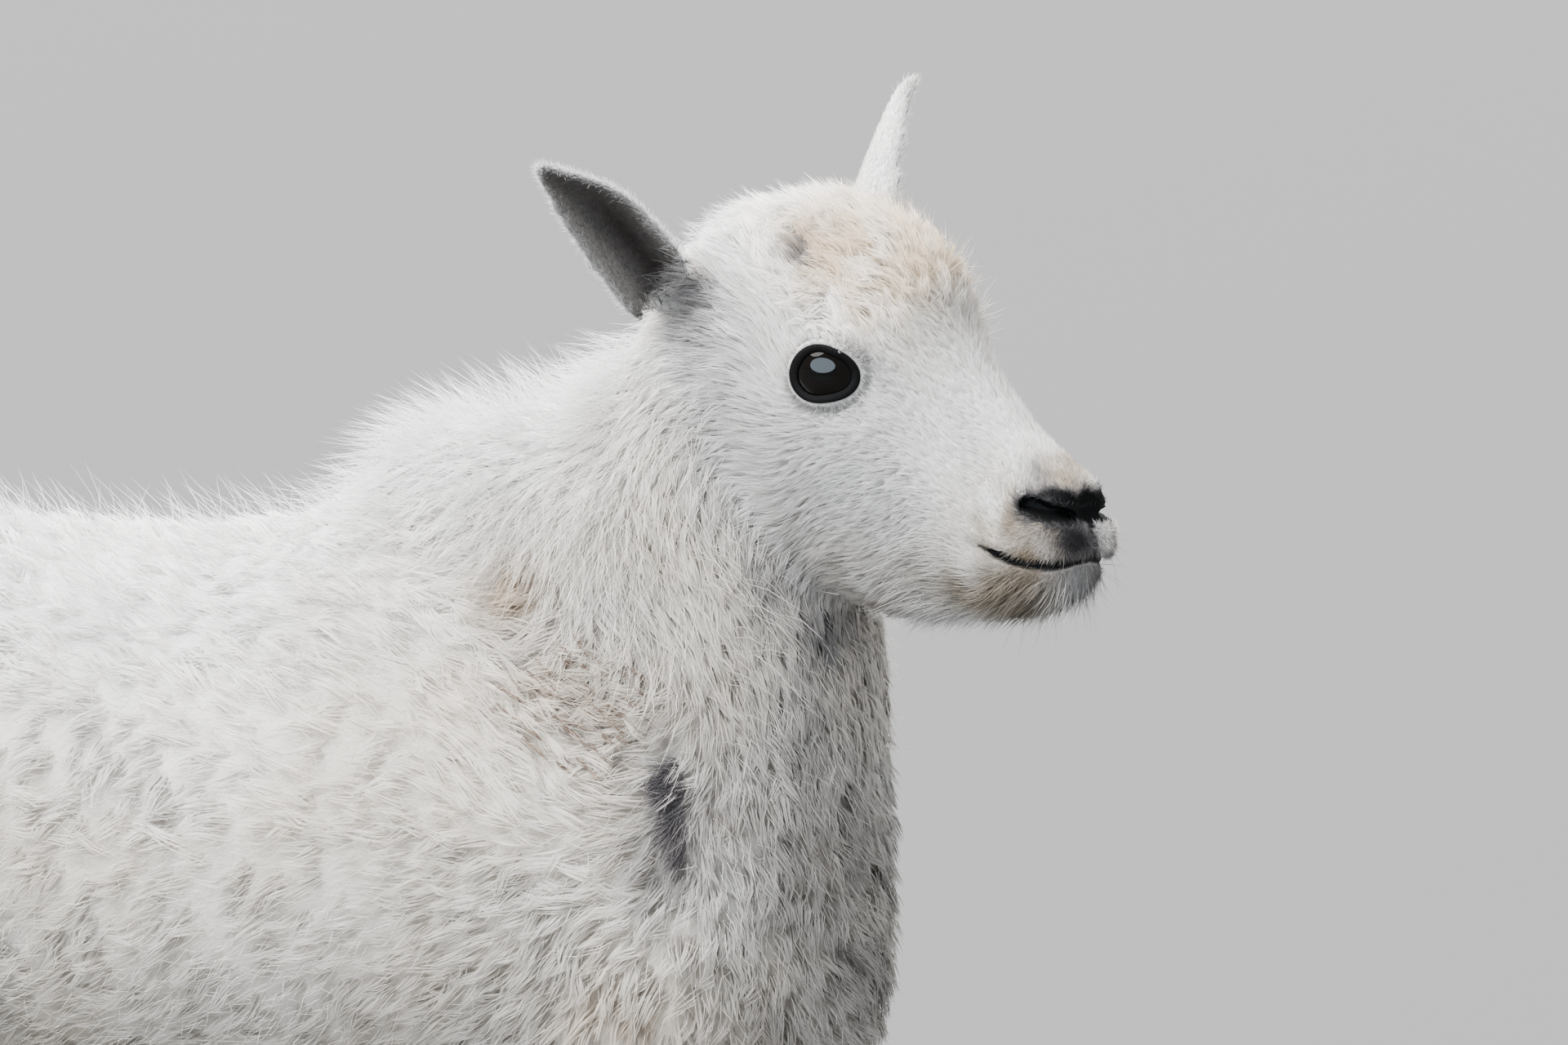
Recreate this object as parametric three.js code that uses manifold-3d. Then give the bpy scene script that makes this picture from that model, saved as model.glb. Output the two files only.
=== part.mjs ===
// A mountain goat kid, life size, standing with its head turned to its right.
// Millimetres, +X towards the chest, +Y to the animal's left, +Z up, hooves on z = 0.
// Every size is to the outside of the coat.
import * as THREE from "three";
import { mergeVertices } from "three/addons/utils/BufferGeometryUtils.js";
import Module from "manifold-3d";

const wasm = await Module();
wasm.setup();

// Driving sizes
const gap = 0.4; // clear space left between two sub-parts
const far = 2000; // longer than the animal, for the cutting blocks
const deg = Math.PI / 180;
const eyeRadius = 15.5;
const eyeCentre = [-6, 30.7, -3.7]; // in the head's frame, on the left side
const gaze = [0.36, 0.92, 0.14]; // which way the left eye looks, in the head's frame
const lidOpening = { long: 12.8, high: 9.6, deep: 9, tilt: -0.5 };
const earLength = 96;
const earBow = 5; // how far the ear curves back at its middle
const earEndRounding = 14;
const coronetHeight = 25;
const toeGap = 2.4;
const toeSpread = 8.6; // toe centre from the hoof's middle
const toeTurn = 0.09;
const dewclawHeight = 39;
const legSide = { fore: 47, hind: 46 }; // hoof centres from the midline

// How finely each surface is divided: around it, and along it
const meshGrid = {
  body: [24, 28],
  head: [24, 25],
  leg: [12, 16],
  toe: [8, 6],
  tail: [12, 9],
  ear: [16, 12],
};
const ballSides = { eye: 14, lids: 12, brow: 10, nostril: 8, bud: 7, dewclaw: 6 };

// Where the head sits: the point between the eyes, and how the head is turned
const headPlace = {
  at: new THREE.Vector3(222, -19, 483),
  yaw: -22 * deg,
  pitch: 27 * deg,
  roll: -4 * deg,
};

const coat = { color: 0xe9e5dd, roughness: 0.95, metalness: 0 };
const finishes = {
  coat: new THREE.MeshStandardMaterial(coat),
  ear: new THREE.MeshStandardMaterial({ ...coat, color: 0xd8d4ce }),
  eye: new THREE.MeshStandardMaterial({ color: 0x0d0a09, roughness: 0.08, metalness: 0 }),
  horn: new THREE.MeshStandardMaterial({ color: 0x4a4744, roughness: 0.6, metalness: 0 }),
  hoof: new THREE.MeshStandardMaterial({ color: 0x2b2725, roughness: 0.5, metalness: 0 }),
};

// Solids

function solid(geometry) {
  const bare = geometry.clone();
  bare.deleteAttribute("normal");
  bare.deleteAttribute("uv");
  const merged = mergeVertices(bare, 1e-3);
  const points = merged.attributes.position.array;
  const faces = new Uint32Array(merged.index.array);
  const make = () => new wasm.Mesh({ numProp: 3, vertProperties: points, triVerts: faces });
  const made = new wasm.Manifold(make());
  if (made.volume() > 0) return made;
  for (let i = 0; i < faces.length; i += 3) [faces[i], faces[i + 1]] = [faces[i + 1], faces[i]];
  return new wasm.Manifold(make());
}

function largestPiece(made) {
  return made.decompose().reduce((best, piece) => (piece.volume() > best.volume() ? piece : best));
}

function namedMesh(name, made, material) {
  const m = largestPiece(made).getMesh();
  const geometry = new THREE.BufferGeometry();
  geometry.setAttribute("position", new THREE.BufferAttribute(new Float32Array(m.vertProperties), 3));
  geometry.setIndex(new THREE.BufferAttribute(new Uint32Array(m.triVerts), 1));
  geometry.computeVertexNormals();
  const mesh = new THREE.Mesh(geometry, material);
  mesh.name = name;
  return mesh;
}

// The half of space on the side of a plane that its normal points to, as a big block
function halfSpace(point, normal) {
  const block = new THREE.BoxGeometry(far, far, far).translate(0, 0, far / 2);
  const facing = normal.clone().normalize();
  const turn = new THREE.Quaternion().setFromUnitVectors(new THREE.Vector3(0, 0, 1), facing);
  return solid(block.applyQuaternion(turn).translate(point.x, point.y, point.z));
}

function ellipsoid(radii, centre, turn, sides, grow = 0) {
  const ball = new THREE.SphereGeometry(1, sides, Math.round(sides * 0.7));
  ball.scale(...radii.map((r) => r + grow));
  ball.applyQuaternion(new THREE.Quaternion().setFromEuler(turn));
  return ball.translate(...centre);
}

// A closed body through stations. Each station gives a top and a bottom point of its outline, in
// the middle plane, its half width, and how the section is shaped: full is above 0 where the
// section is widest near the top, square is 2 for an ellipse and more for a boxier one, and yaw
// turns the section to the side. The surface is a sphere's own grid, laid over the sections.
const curve = (points) => new THREE.CatmullRomCurve3(points, false, "centripetal");
const stretch = 100;
const endRounding = 1.6; // how many sections the closed ends are rounded over

function throughStations(stations, [around, along], grow = 0) {
  const tops = curve(stations.map((s) => new THREE.Vector3(s.top[0], s.y ?? 0, s.top[1])));
  const bottoms = curve(stations.map((s) => new THREE.Vector3(s.bottom[0], s.y ?? 0, s.bottom[1])));
  // The shape values are stretched to the size of the widths, so that one curve carries all of them
  const full = (s) => (s.full ?? 0) * stretch;
  const yaw = (s) => (s.yaw ?? 0) * stretch;
  const power = (s) => (s.square ?? 2) * stretch;
  const shapes = curve(stations.map((s) => new THREE.Vector3(s.wide, full(s), yaw(s))));
  const squares = curve(stations.map((s, i) => new THREE.Vector3(power(s), i, 0)));
  const roundedEnd = endRounding / along;
  const sphere = new THREE.SphereGeometry(1, around, along);
  const { position, uv } = sphere.attributes;
  const rounded = (value, square) => Math.sign(value) * Math.abs(value) ** (2 / square);
  for (let i = 0; i < position.count; i++) {
    const t = 1 - uv.getY(i);
    const angle = uv.getX(i) * 2 * Math.PI;
    const top = tops.getPoint(t);
    const bottom = bottoms.getPoint(t);
    const shape = shapes.getPoint(t);
    const square = squares.getPoint(t).x / stretch;
    const toEnd = Math.min(t, 1 - t) / roundedEnd;
    const size = toEnd < 1 ? Math.sqrt(1 - (1 - toEnd) ** 2) : 1;
    const up = top.clone().sub(bottom).multiplyScalar(0.5);
    const middle = top.clone().add(bottom).multiplyScalar(0.5);
    const turned = shape.z / stretch;
    const side = new THREE.Vector3(-Math.sin(turned), Math.cos(turned), 0);
    const high = rounded(Math.sin(angle), square);
    const wide = rounded(Math.cos(angle), square) * (1 + (shape.y / stretch) * Math.sin(angle));
    const upSize = (up.length() + grow) * size;
    const point = middle
      .addScaledVector(up.normalize(), upSize * high)
      .addScaledVector(side, (shape.x + grow) * size * wide);
    position.setXYZ(i, point.x, point.y, point.z);
  }
  return sphere;
}

// Trunk and neck

// From the rump forward along the back, over the withers and up to the back of the head
const bodyStations = [
  { top: [-247, 366], bottom: [-240, 306], wide: 36 },
  { top: [-231, 397], bottom: [-212, 264], wide: 66 },
  { top: [-188, 413], bottom: [-168, 232], wide: 82, full: -0.02 },
  { top: [-122, 416], bottom: [-112, 208], wide: 92, full: -0.1 },
  { top: [-50, 414], bottom: [-44, 196], wide: 98, full: -0.14 },
  { top: [2, 423], bottom: [28, 194], wide: 97, full: -0.12 },
  { top: [28, 447], bottom: [98, 192], wide: 91, full: -0.12 },
  { top: [57, 462], bottom: [172, 192], wide: 84, full: -0.1 },
  { top: [80, 466], bottom: [210, 216], wide: 76, full: -0.06 },
  { top: [97, 469], bottom: [217, 276], wide: 67, full: -0.03 },
  { top: [112, 476], bottom: [213, 336], wide: 59, y: 1, yaw: -6 * deg },
  { top: [124, 490], bottom: [208, 380], wide: 53, y: 3, yaw: -13 * deg },
  { top: [140, 503], bottom: [196, 412], wide: 48, y: 5, yaw: -20 * deg },
  { top: [156, 508], bottom: [190, 430], wide: 40, y: 6, yaw: -22 * deg },
];
const bodyGeometry = (grow = 0) => throughStations(bodyStations, meshGrid.body, grow);
const neckCut = { at: new THREE.Vector3(112, 0, 388), facing: new THREE.Vector3(0.5, 0, 0.87) };

// Head, in its own frame: +X to the nose, +Y to the animal's left, +Z to the forehead

const headStations = [
  { top: [-98, -12], bottom: [-94, -40], wide: 20 },
  { top: [-89, 13], bottom: [-84, -56], wide: 37 },
  { top: [-70, 35], bottom: [-62, -68], wide: 44 },
  { top: [-46, 47], bottom: [-36, -76], wide: 47 },
  { top: [-20, 51], bottom: [-8, -84], wide: 46.5, full: 0.02 },
  { top: [2, 44], bottom: [16, -86], wide: 43, full: 0.04 },
  { top: [20, 30], bottom: [38, -83], wide: 35.5, full: 0 },
  { top: [39, 20], bottom: [57, -75], wide: 28.5, full: -0.02 },
  { top: [58, 14], bottom: [74, -63], wide: 24.5, full: -0.04, square: 2.1 },
  { top: [77, 12], bottom: [91, -51], wide: 23.5, full: -0.03, square: 2.2 },
  { top: [92, 10], bottom: [103, -40], wide: 22, square: 2.2 },
  { top: [105, 2], bottom: [113, -29], wide: 16.5, square: 2.1 },
];
const browBulge = { radii: [20, 9, 15], at: [-2, 36, 3] };
const bud = { radii: [5, 5, 8], at: [-36, 30, 29], lean: -0.7 };
const unturned = new THREE.Euler();
const nostril = { radii: [10, 5, 4.4], at: [95.5, 15, -3.4], pitch: 0.1, yaw: -0.85 };
const mouth = { corner: [76, -31], middle: [98, -31], front: [119, -18], half: 0.7, across: 80 };
const headGeometry = (grow = 0) => throughStations(headStations, meshGrid.head, grow);

function headTurn() {
  const { yaw, pitch, roll } = headPlace;
  return new THREE.Euler(roll, pitch, yaw, "ZYX");
}

function placedOnHead(geometry) {
  const turn = new THREE.Quaternion().setFromEuler(headTurn());
  return geometry.applyQuaternion(turn).translate(...headPlace.at.toArray());
}

// A thin curved slot across the muzzle, from the corners of the mouth to the lips
function mouthSlot() {
  const lips = new THREE.QuadraticBezierCurve(
    new THREE.Vector2(...mouth.corner),
    new THREE.Vector2(...mouth.middle),
    new THREE.Vector2(...mouth.front),
  ).getPoints(6);
  const lower = lips.map((p) => new THREE.Vector2(p.x, p.y - mouth.half));
  const upper = lips.map((p) => new THREE.Vector2(p.x, p.y + mouth.half)).reverse();
  const outline = new THREE.Shape([...lower, ...upper]);
  const slot = new THREE.ExtrudeGeometry(outline, { depth: mouth.across, bevelEnabled: false });
  return slot.translate(0, 0, -mouth.across / 2).rotateX(Math.PI / 2);
}

const mirrored = ([x, y, z], side) => [x, side * y, z];
const eyeGeometry = (side, grow = 0) =>
  ellipsoid([eyeRadius, eyeRadius, eyeRadius], mirrored(eyeCentre, side), unturned, ballSides.eye, grow);

function lidGeometry(side) {
  const { long, high, deep, tilt } = lidOpening;
  const looking = new THREE.Vector3(...mirrored(gaze, side)).normalize();
  const front = new THREE.Vector3(...mirrored(eyeCentre, side)).addScaledVector(looking, eyeRadius);
  const outward = new THREE.Vector3(0, side, 0);
  const turn = new THREE.Quaternion().setFromUnitVectors(outward, looking);
  const opening = ellipsoid([long, deep, high], [0, 0, 0], new THREE.Euler(0, tilt, 0), ballSides.lids);
  return opening.applyQuaternion(turn).translate(...front.toArray());
}

const browGeometry = (side) =>
  ellipsoid(browBulge.radii, mirrored(browBulge.at, side), unturned, ballSides.brow);

function nostrilGeometry(side) {
  const turn = new THREE.Euler(0, nostril.pitch, side * nostril.yaw);
  return ellipsoid(nostril.radii, mirrored(nostril.at, side), turn, ballSides.nostril);
}

const budGeometry = (side, grow = 0) =>
  ellipsoid(bud.radii, mirrored(bud.at, side), new THREE.Euler(side * bud.lean, 0, 0), ballSides.bud, grow);

// Ears: a cupped leaf, closed all round

const earStations = [
  { at: 0, wide: 13.5, cup: 15, thick: 3.4 },
  { at: 0.22, wide: 15, cup: 14, thick: 3.1 },
  { at: 0.48, wide: 14, cup: 9, thick: 2.8 },
  { at: 0.72, wide: 10, cup: 5, thick: 2.5 },
  { at: 0.9, wide: 5.6, cup: 2, thick: 2.2 },
  { at: 1, wide: 1.8, cup: 0.3, thick: 1.4 },
];
// The left ear is pricked up a little more than the right one
const earPose = {
  left: { base: [-63, 41, -4], tip: [-103, 111, 56], facing: [0.86, 0.48, -0.16] },
  right: { base: [-76, 36, -15], tip: [-108, 110, 31], facing: [0.86, 0.48, -0.16] },
};

function earGeometry(side, grow = 0) {
  const pose = side > 0 ? earPose.left : earPose.right;
  const base = new THREE.Vector3(...mirrored(pose.base, side));
  const tip = new THREE.Vector3(...mirrored(pose.tip, side));
  const open = new THREE.Vector3(...mirrored(pose.facing, side));
  const axis = tip.clone().sub(base).normalize();
  const across = new THREE.Vector3().crossVectors(axis, open).normalize();
  open.crossVectors(across, axis).normalize();
  const shapes = curve(earStations.map((s) => new THREE.Vector3(s.wide, s.cup, s.thick)));
  const lengths = curve(earStations.map((s) => new THREE.Vector3(s.at * earLength, 0, 0)));
  const leaf = new THREE.SphereGeometry(1, ...meshGrid.ear);
  const { position, uv } = leaf.attributes;
  for (let i = 0; i < position.count; i++) {
    const t = 1 - uv.getY(i);
    const angle = uv.getX(i) * 2 * Math.PI;
    const shape = shapes.getPoint(t);
    const size = Math.min(1, Math.sqrt(Math.min(t, 1 - t) * earEndRounding));
    const spread = Math.cos(angle);
    const bow = earBow * Math.sin(Math.PI * t);
    const point = base
      .clone()
      .addScaledVector(axis, lengths.getPoint(t).x)
      .addScaledVector(across, (shape.x + grow) * size * spread)
      .addScaledVector(open, shape.y * size * spread ** 2 + (shape.z + grow) * size * Math.sin(angle) - bow);
    position.setXYZ(i, point.x, point.y, point.z);
  }
  return leaf;
}

// Legs, tail and hooves

// Front and back of the leg at each height, as top and bottom of a section
const limb = (rows) => rows.map(([front, back, height, wide]) => ({ height, front, back, wide }));
const legStations = {
  fore: limb([
    [186, 70, 318, 20],
    [190, 76, 292, 36],
    [184, 82, 252, 37],
    [172, 94, 212, 31],
    [161, 105, 172, 24.5],
    [157, 110, 136, 22],
    [157, 113, 118, 21.5],
    [151, 115, 92, 17.5],
    [149, 116, 66, 16.5],
    [152, 112, 46, 18.5],
    [157, 119, 30, 17.5],
    [158, 124, 16, 16],
  ]),
  hind: limb([
    [-112, -226, 352, 30],
    [-102, -240, 322, 42],
    [-98, -243, 280, 44],
    [-106, -236, 240, 39],
    [-130, -232, 202, 31],
    [-170, -238, 166, 24],
    [-196, -246, 138, 20.5],
    [-205, -247, 118, 19],
    [-204, -240, 90, 16],
    [-202, -236, 64, 15.5],
    [-197, -236, 46, 18],
    [-189, -228, 30, 17],
    [-188, -224, 16, 15.5],
  ]),
};
const stance = {
  fore: { left: -7, right: 5 },
  hind: { left: 6, right: -9 },
};
const hoofPlace = { fore: 139, hind: -207 };
const hoofSize = { fore: 1, hind: 0.94 };
const dewclaw = { radii: [5, 4.6, 7.5], lean: 0.5, side: 9, behind: { fore: 25.5, hind: 28 } };

// A leg leans so that its hoof is set a little forward or back, and its top stays in the body
function legGeometry(which, side, grow = 0) {
  const rows = legStations[which];
  const name = side > 0 ? "left" : "right";
  const topHeight = rows[0].height;
  const stations = rows.map((r) => {
    const step = stance[which][name] * (1 - r.height / topHeight);
    return { top: [r.front + step, r.height], bottom: [r.back + step, r.height], wide: r.wide, square: 2.1 };
  });
  return throughStations(stations, meshGrid.leg, grow).translate(0, side * legSide[which], 0);
}

const coronetTilt = new THREE.Vector3(-0.28, 0, 1);
const hoofX = (which, side) => hoofPlace[which] + stance[which][side > 0 ? "left" : "right"];

// One of the two toes of a hoof. It is cut flat where it stands and where it faces its neighbour.
function toeSolid(which, side, outer) {
  const size = hoofSize[which];
  const rows = [
    { top: [27, -6], bottom: [-19, -6], wide: 8.6 },
    { top: [27, 2], bottom: [-19, 2], wide: 9.2 },
    { top: [22, 12], bottom: [-18, 12], wide: 9 },
    { top: [17, 22], bottom: [-17, 22], wide: 8.8 },
    { top: [14, 32], bottom: [-15, 34], wide: 8.2 },
  ].map((r) => ({
    ...r,
    top: [r.top[0] * size, r.top[1]],
    bottom: [r.bottom[0] * size, r.bottom[1]],
    square: 2.3,
  }));
  const away = side * (outer ? 1 : -1);
  const toe = throughStations(rows, meshGrid.toe).rotateZ(away * toeTurn).translate(0, away * toeSpread, 0);
  const x = hoofX(which, side);
  const y = side * legSide[which];
  const top = new THREE.Vector3(x, y, coronetHeight - gap);
  return solid(toe.translate(x, y, 0))
    .intersect(halfSpace(new THREE.Vector3(x, y, 0), new THREE.Vector3(0, 0, 1)))
    .intersect(halfSpace(new THREE.Vector3(x, y + (away * toeGap) / 2, 0), new THREE.Vector3(0, away, 0)))
    .intersect(halfSpace(top, coronetTilt.clone().negate()));
}

function dewclawGeometry(which, side, outer, grow = 0) {
  const away = side * (outer ? 1 : -1);
  const place = [
    hoofX(which, side) - dewclaw.behind[which],
    side * legSide[which] + away * dewclaw.side,
    dewclawHeight,
  ];
  const turn = new THREE.Euler(0, dewclaw.lean, 0);
  return ellipsoid(dewclaw.radii, place, turn, ballSides.dewclaw, grow);
}

const tailStations = [
  { top: [-226, 388], bottom: [-222, 360], wide: 22 },
  { top: [-246, 384], bottom: [-240, 350], wide: 27 },
  { top: [-262, 362], bottom: [-246, 332], wide: 26 },
  { top: [-270, 336], bottom: [-251, 314], wide: 20 },
  { top: [-272, 312], bottom: [-258, 300], wide: 9 },
];
const tailGeometry = (grow = 0) => throughStations(tailStations, meshGrid.tail, grow);

// The animal, parted into its sub-parts

const goat = new THREE.Group();
const sides = { left: 1, right: -1 };
const wholeBody = solid(bodyGeometry());
const wholeBodyGrown = solid(bodyGeometry(gap));
const headGrown = solid(placedOnHead(headGeometry(gap)));

function addBody() {
  const forward = neckCut.facing.clone().normalize();
  const step = forward.clone().multiplyScalar(gap / 2);
  const ahead = halfSpace(neckCut.at.clone().add(step), forward);
  const behind = halfSpace(neckCut.at.clone().sub(step), forward.clone().negate());
  goat.add(namedMesh("trunk", wholeBody.intersect(behind), finishes.coat));
  goat.add(namedMesh("neck", wholeBody.intersect(ahead).subtract(headGrown), finishes.coat));
}

function addHead() {
  let head = solid(placedOnHead(headGeometry()));
  head = head.subtract(solid(placedOnHead(mouthSlot())));
  for (const [name, side] of Object.entries(sides)) {
    head = head.add(solid(placedOnHead(browGeometry(side))));
    head = head.subtract(solid(placedOnHead(nostrilGeometry(side))));
    head = head.subtract(solid(placedOnHead(lidGeometry(side))));
    head = head.subtract(solid(placedOnHead(eyeGeometry(side, gap))));
    head = head.subtract(solid(placedOnHead(budGeometry(side, gap))));
    const eye = solid(placedOnHead(eyeGeometry(side)));
    goat.add(namedMesh(`eye_${name}`, eye, finishes.eye));
    goat.add(namedMesh(`horn_bud_${name}`, solid(placedOnHead(budGeometry(side))), finishes.horn));
    const ear = solid(placedOnHead(earGeometry(side))).subtract(headGrown).subtract(wholeBodyGrown);
    goat.add(namedMesh(`ear_${name}`, ear, finishes.ear));
  }
  goat.add(namedMesh("head", head, finishes.coat));
}

function addLeg(which, name) {
  const side = sides[name];
  const x = hoofX(which, side);
  const y = side * legSide[which];
  let leg = solid(legGeometry(which, side)).subtract(wholeBodyGrown);
  leg = leg.intersect(halfSpace(new THREE.Vector3(x, y, coronetHeight), coronetTilt));
  for (const outer of [true, false]) {
    const place = outer ? "outer" : "inner";
    leg = leg.subtract(solid(dewclawGeometry(which, side, outer, gap)));
    goat.add(namedMesh(`toe_${which}_${name}_${place}`, toeSolid(which, side, outer), finishes.hoof));
    const claw = solid(dewclawGeometry(which, side, outer));
    goat.add(namedMesh(`dewclaw_${which}_${name}_${place}`, claw, finishes.hoof));
  }
  goat.add(namedMesh(`leg_${which}_${name}`, leg, finishes.coat));
}

addBody();
addHead();
for (const which of ["fore", "hind"]) for (const name of Object.keys(sides)) addLeg(which, name);
goat.add(namedMesh("tail", solid(tailGeometry()).subtract(wholeBodyGrown), finishes.coat));

// The origin is on the ground under the middle of the animal's bounding box
const middle = new THREE.Box3().setFromObject(goat).getCenter(new THREE.Vector3());
goat.position.set(-middle.x, -middle.y, 0);

export default goat;
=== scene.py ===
# A mountain goat kid, life size: one skin, eyes, hooves, horn buds and a coat of mesh locks.
# Metres, +X towards the chest, +Y to the animal's left, +Z up.
import math

import bmesh
import bpy
import numpy as np
from mathutils import Matrix, Vector
from mathutils.bvhtree import BVHTree


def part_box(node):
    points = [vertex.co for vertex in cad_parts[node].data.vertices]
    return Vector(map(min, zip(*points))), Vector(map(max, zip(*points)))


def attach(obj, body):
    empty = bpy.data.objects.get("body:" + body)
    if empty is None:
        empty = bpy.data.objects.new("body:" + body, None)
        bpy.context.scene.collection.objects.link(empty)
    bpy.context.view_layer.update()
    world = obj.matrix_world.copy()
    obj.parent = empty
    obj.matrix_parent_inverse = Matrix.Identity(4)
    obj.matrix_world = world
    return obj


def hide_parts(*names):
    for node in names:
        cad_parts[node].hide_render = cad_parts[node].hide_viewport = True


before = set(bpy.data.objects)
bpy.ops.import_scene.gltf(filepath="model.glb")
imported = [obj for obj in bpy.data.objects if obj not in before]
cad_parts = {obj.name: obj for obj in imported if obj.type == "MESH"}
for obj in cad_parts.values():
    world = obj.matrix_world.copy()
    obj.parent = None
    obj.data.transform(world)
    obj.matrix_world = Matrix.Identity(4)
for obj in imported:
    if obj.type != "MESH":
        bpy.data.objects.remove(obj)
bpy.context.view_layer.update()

mm = 0.001

# Where the head sits. Head places are millimetres in its own frame: +X to the nose,
# +Y to the animal's left, +Z to the forehead. Body places are millimetres from the hooves up.
headPose = {"yaw": -22, "pitch": 27, "roll": -4, "betweenEyes": (-6.0, 0.0, -3.7), "inBody": (222, -19, 483)}


def nodeMiddle(node):
    low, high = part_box(node)
    return (low + high) / 2


headTurn = (
    Matrix.Rotation(math.radians(headPose["yaw"]), 3, "Z")
    @ Matrix.Rotation(math.radians(headPose["pitch"]), 3, "Y")
    @ Matrix.Rotation(math.radians(headPose["roll"]), 3, "X")
)
eyesMiddle = (nodeMiddle("eye_left") + nodeMiddle("eye_right")) / 2
headOrigin = np.array(eyesMiddle - headTurn @ (Vector(headPose["betweenEyes"]) * mm))
bodyOrigin = headOrigin - np.array(headPose["inBody"]) * mm
turn = np.array(headTurn)


def toHead(points):
    return (points - headOrigin) @ turn / mm


def fromHead(points):
    return headOrigin + np.asarray(points, float) @ turn.T * mm


def toBody(points):
    return (points - bodyOrigin) / mm


def mirrored(head):  # both halves of the face as its left half
    return head * np.array((1, 0, 1)) + np.abs(head) * np.array((0, 1, 0))


def sideways(vectors, head):  # turns what is made for the left half the other way on the right half
    return vectors * np.where(head[:, 1:2] < 0, np.array((1, -1, 1)), 1)


# Small helpers for numbers

def ease(value, low, high):  # 0 below low, 1 above high, smooth between
    t = np.clip((value - low) / (high - low), 0, 1)
    return t * t * (3 - 2 * t)


def bell(value, middle, width):  # 1 at the middle, falling off to both sides
    return np.exp(-((value - middle) / width) ** 2)


def apart(points, place):  # how far each point is from a place
    return np.linalg.norm(points - np.array(place), axis=1)


def unit(vectors):
    return vectors / np.maximum(np.linalg.norm(vectors, axis=-1, keepdims=True), 1e-12)


def mix(a, b, share):
    share = np.asarray(share)[..., None]
    return a * (1 - share) + b * share


def ripple(points, size, seed, waveCount=12):  # soft random values, about -1 to 1, that change over size
    draw = np.random.default_rng(seed)
    waves = draw.normal(size=(waveCount, 3)) / size
    phases = draw.uniform(0, 2 * np.pi, waveCount)
    return np.sin(points @ waves.T + phases).sum(1) / math.sqrt(waveCount / 2)


def alongTangent(vectors, normals):
    return unit(vectors - (vectors * normals).sum(1, keepdims=True) * normals)


def segmentDistance(points, line, radii):
    # distance to a bent line whose thickness changes from point to point, below 0 inside it
    line, radii = np.array(line, float), np.array(radii, float)
    best = np.full(len(points), 1e9)
    for a, b, ra, rb in zip(line[:-1], line[1:], radii[:-1], radii[1:]):
        step = b - a
        t = np.clip((points - a) @ step / (step @ step), 0, 1)
        away = np.linalg.norm(points - a - t[:, None] * step, axis=1)
        best = np.minimum(best, away - (ra + (rb - ra) * t))
    return best


# Small helpers for meshes

def newObject(name, mesh):
    thing = bpy.data.objects.new(name, mesh)
    bpy.context.scene.collection.objects.link(thing)
    return thing


def objectFrom(shape, name):
    mesh = bpy.data.meshes.new(name)
    shape.to_mesh(mesh)
    shape.free()
    return newObject(name, mesh)


def applyModifiers(thing):
    bpy.context.view_layer.update()
    graph = bpy.context.evaluated_depsgraph_get()
    made = bpy.data.meshes.new_from_object(thing.evaluated_get(graph))
    thing.modifiers.clear()
    old, thing.data = thing.data, made
    bpy.data.meshes.remove(old)


def voxelRemesh(thing, size):  # size in mm
    remesh = thing.modifiers.new("grain", "REMESH")
    remesh.mode, remesh.voxel_size = "VOXEL", size * mm
    applyModifiers(thing)


def readAll(rows, name, width, kind=np.float32):
    values = np.empty(len(rows) * width, kind)
    rows.foreach_get(name, values)
    return values.reshape(-1, width)


def pointsOf(mesh):
    return readAll(mesh.vertices, "co", 3).astype(float)


def normalsOf(mesh):
    return readAll(mesh.vertex_normals, "vector", 3).astype(float)


def edgesOf(mesh):
    return readAll(mesh.edges, "vertices", 2, np.int32)


def setPoints(mesh, points):
    mesh.vertices.foreach_set("co", points.astype(np.float32).ravel())
    mesh.update()


def relax(values, edges, share, rounds):
    # each value moves by share towards the mean of its neighbours
    a, b = edges.T
    count = len(values)
    around = np.maximum(np.bincount(a, minlength=count) + np.bincount(b, minlength=count), 1)
    share = np.broadcast_to(np.asarray(share, float), (count,))[:, None]
    for _ in range(rounds):
        total = np.stack([
            np.bincount(a, column[b], count) + np.bincount(b, column[a], count) for column in values.T
        ], 1)
        values = values + share * (total / around[:, None] - values)
    return values


def paint(mesh, name, colours):
    layer = mesh.attributes.new(name, "FLOAT_COLOR", "POINT")
    rgba = np.ones((len(colours), 4), np.float32)
    rgba[:, :3] = colours
    layer.data.foreach_set("color", rgba.ravel())


def finishPiece(thing, material, nodes=()):
    thing.data.materials.clear()
    thing.data.materials.append(material)
    thing.data.shade_smooth()
    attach(thing, "root")
    if nodes:
        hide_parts(*nodes)


# Shader maths: a Wire is one socket, and sums of wires become Math nodes

class Wire:
    def __init__(self, finish, socket):
        self.finish, self.socket = finish, socket

    def math(self, operation, *others):
        return self.finish.math(operation, self, *others)

    def __add__(self, other):
        return self.math("ADD", other)

    def __sub__(self, other):
        return self.math("SUBTRACT", other)

    def __rsub__(self, other):
        return self.finish.math("SUBTRACT", other, self)

    def __mul__(self, other):
        return self.math("MULTIPLY", other)

    __radd__, __rmul__ = __add__, __mul__


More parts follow.
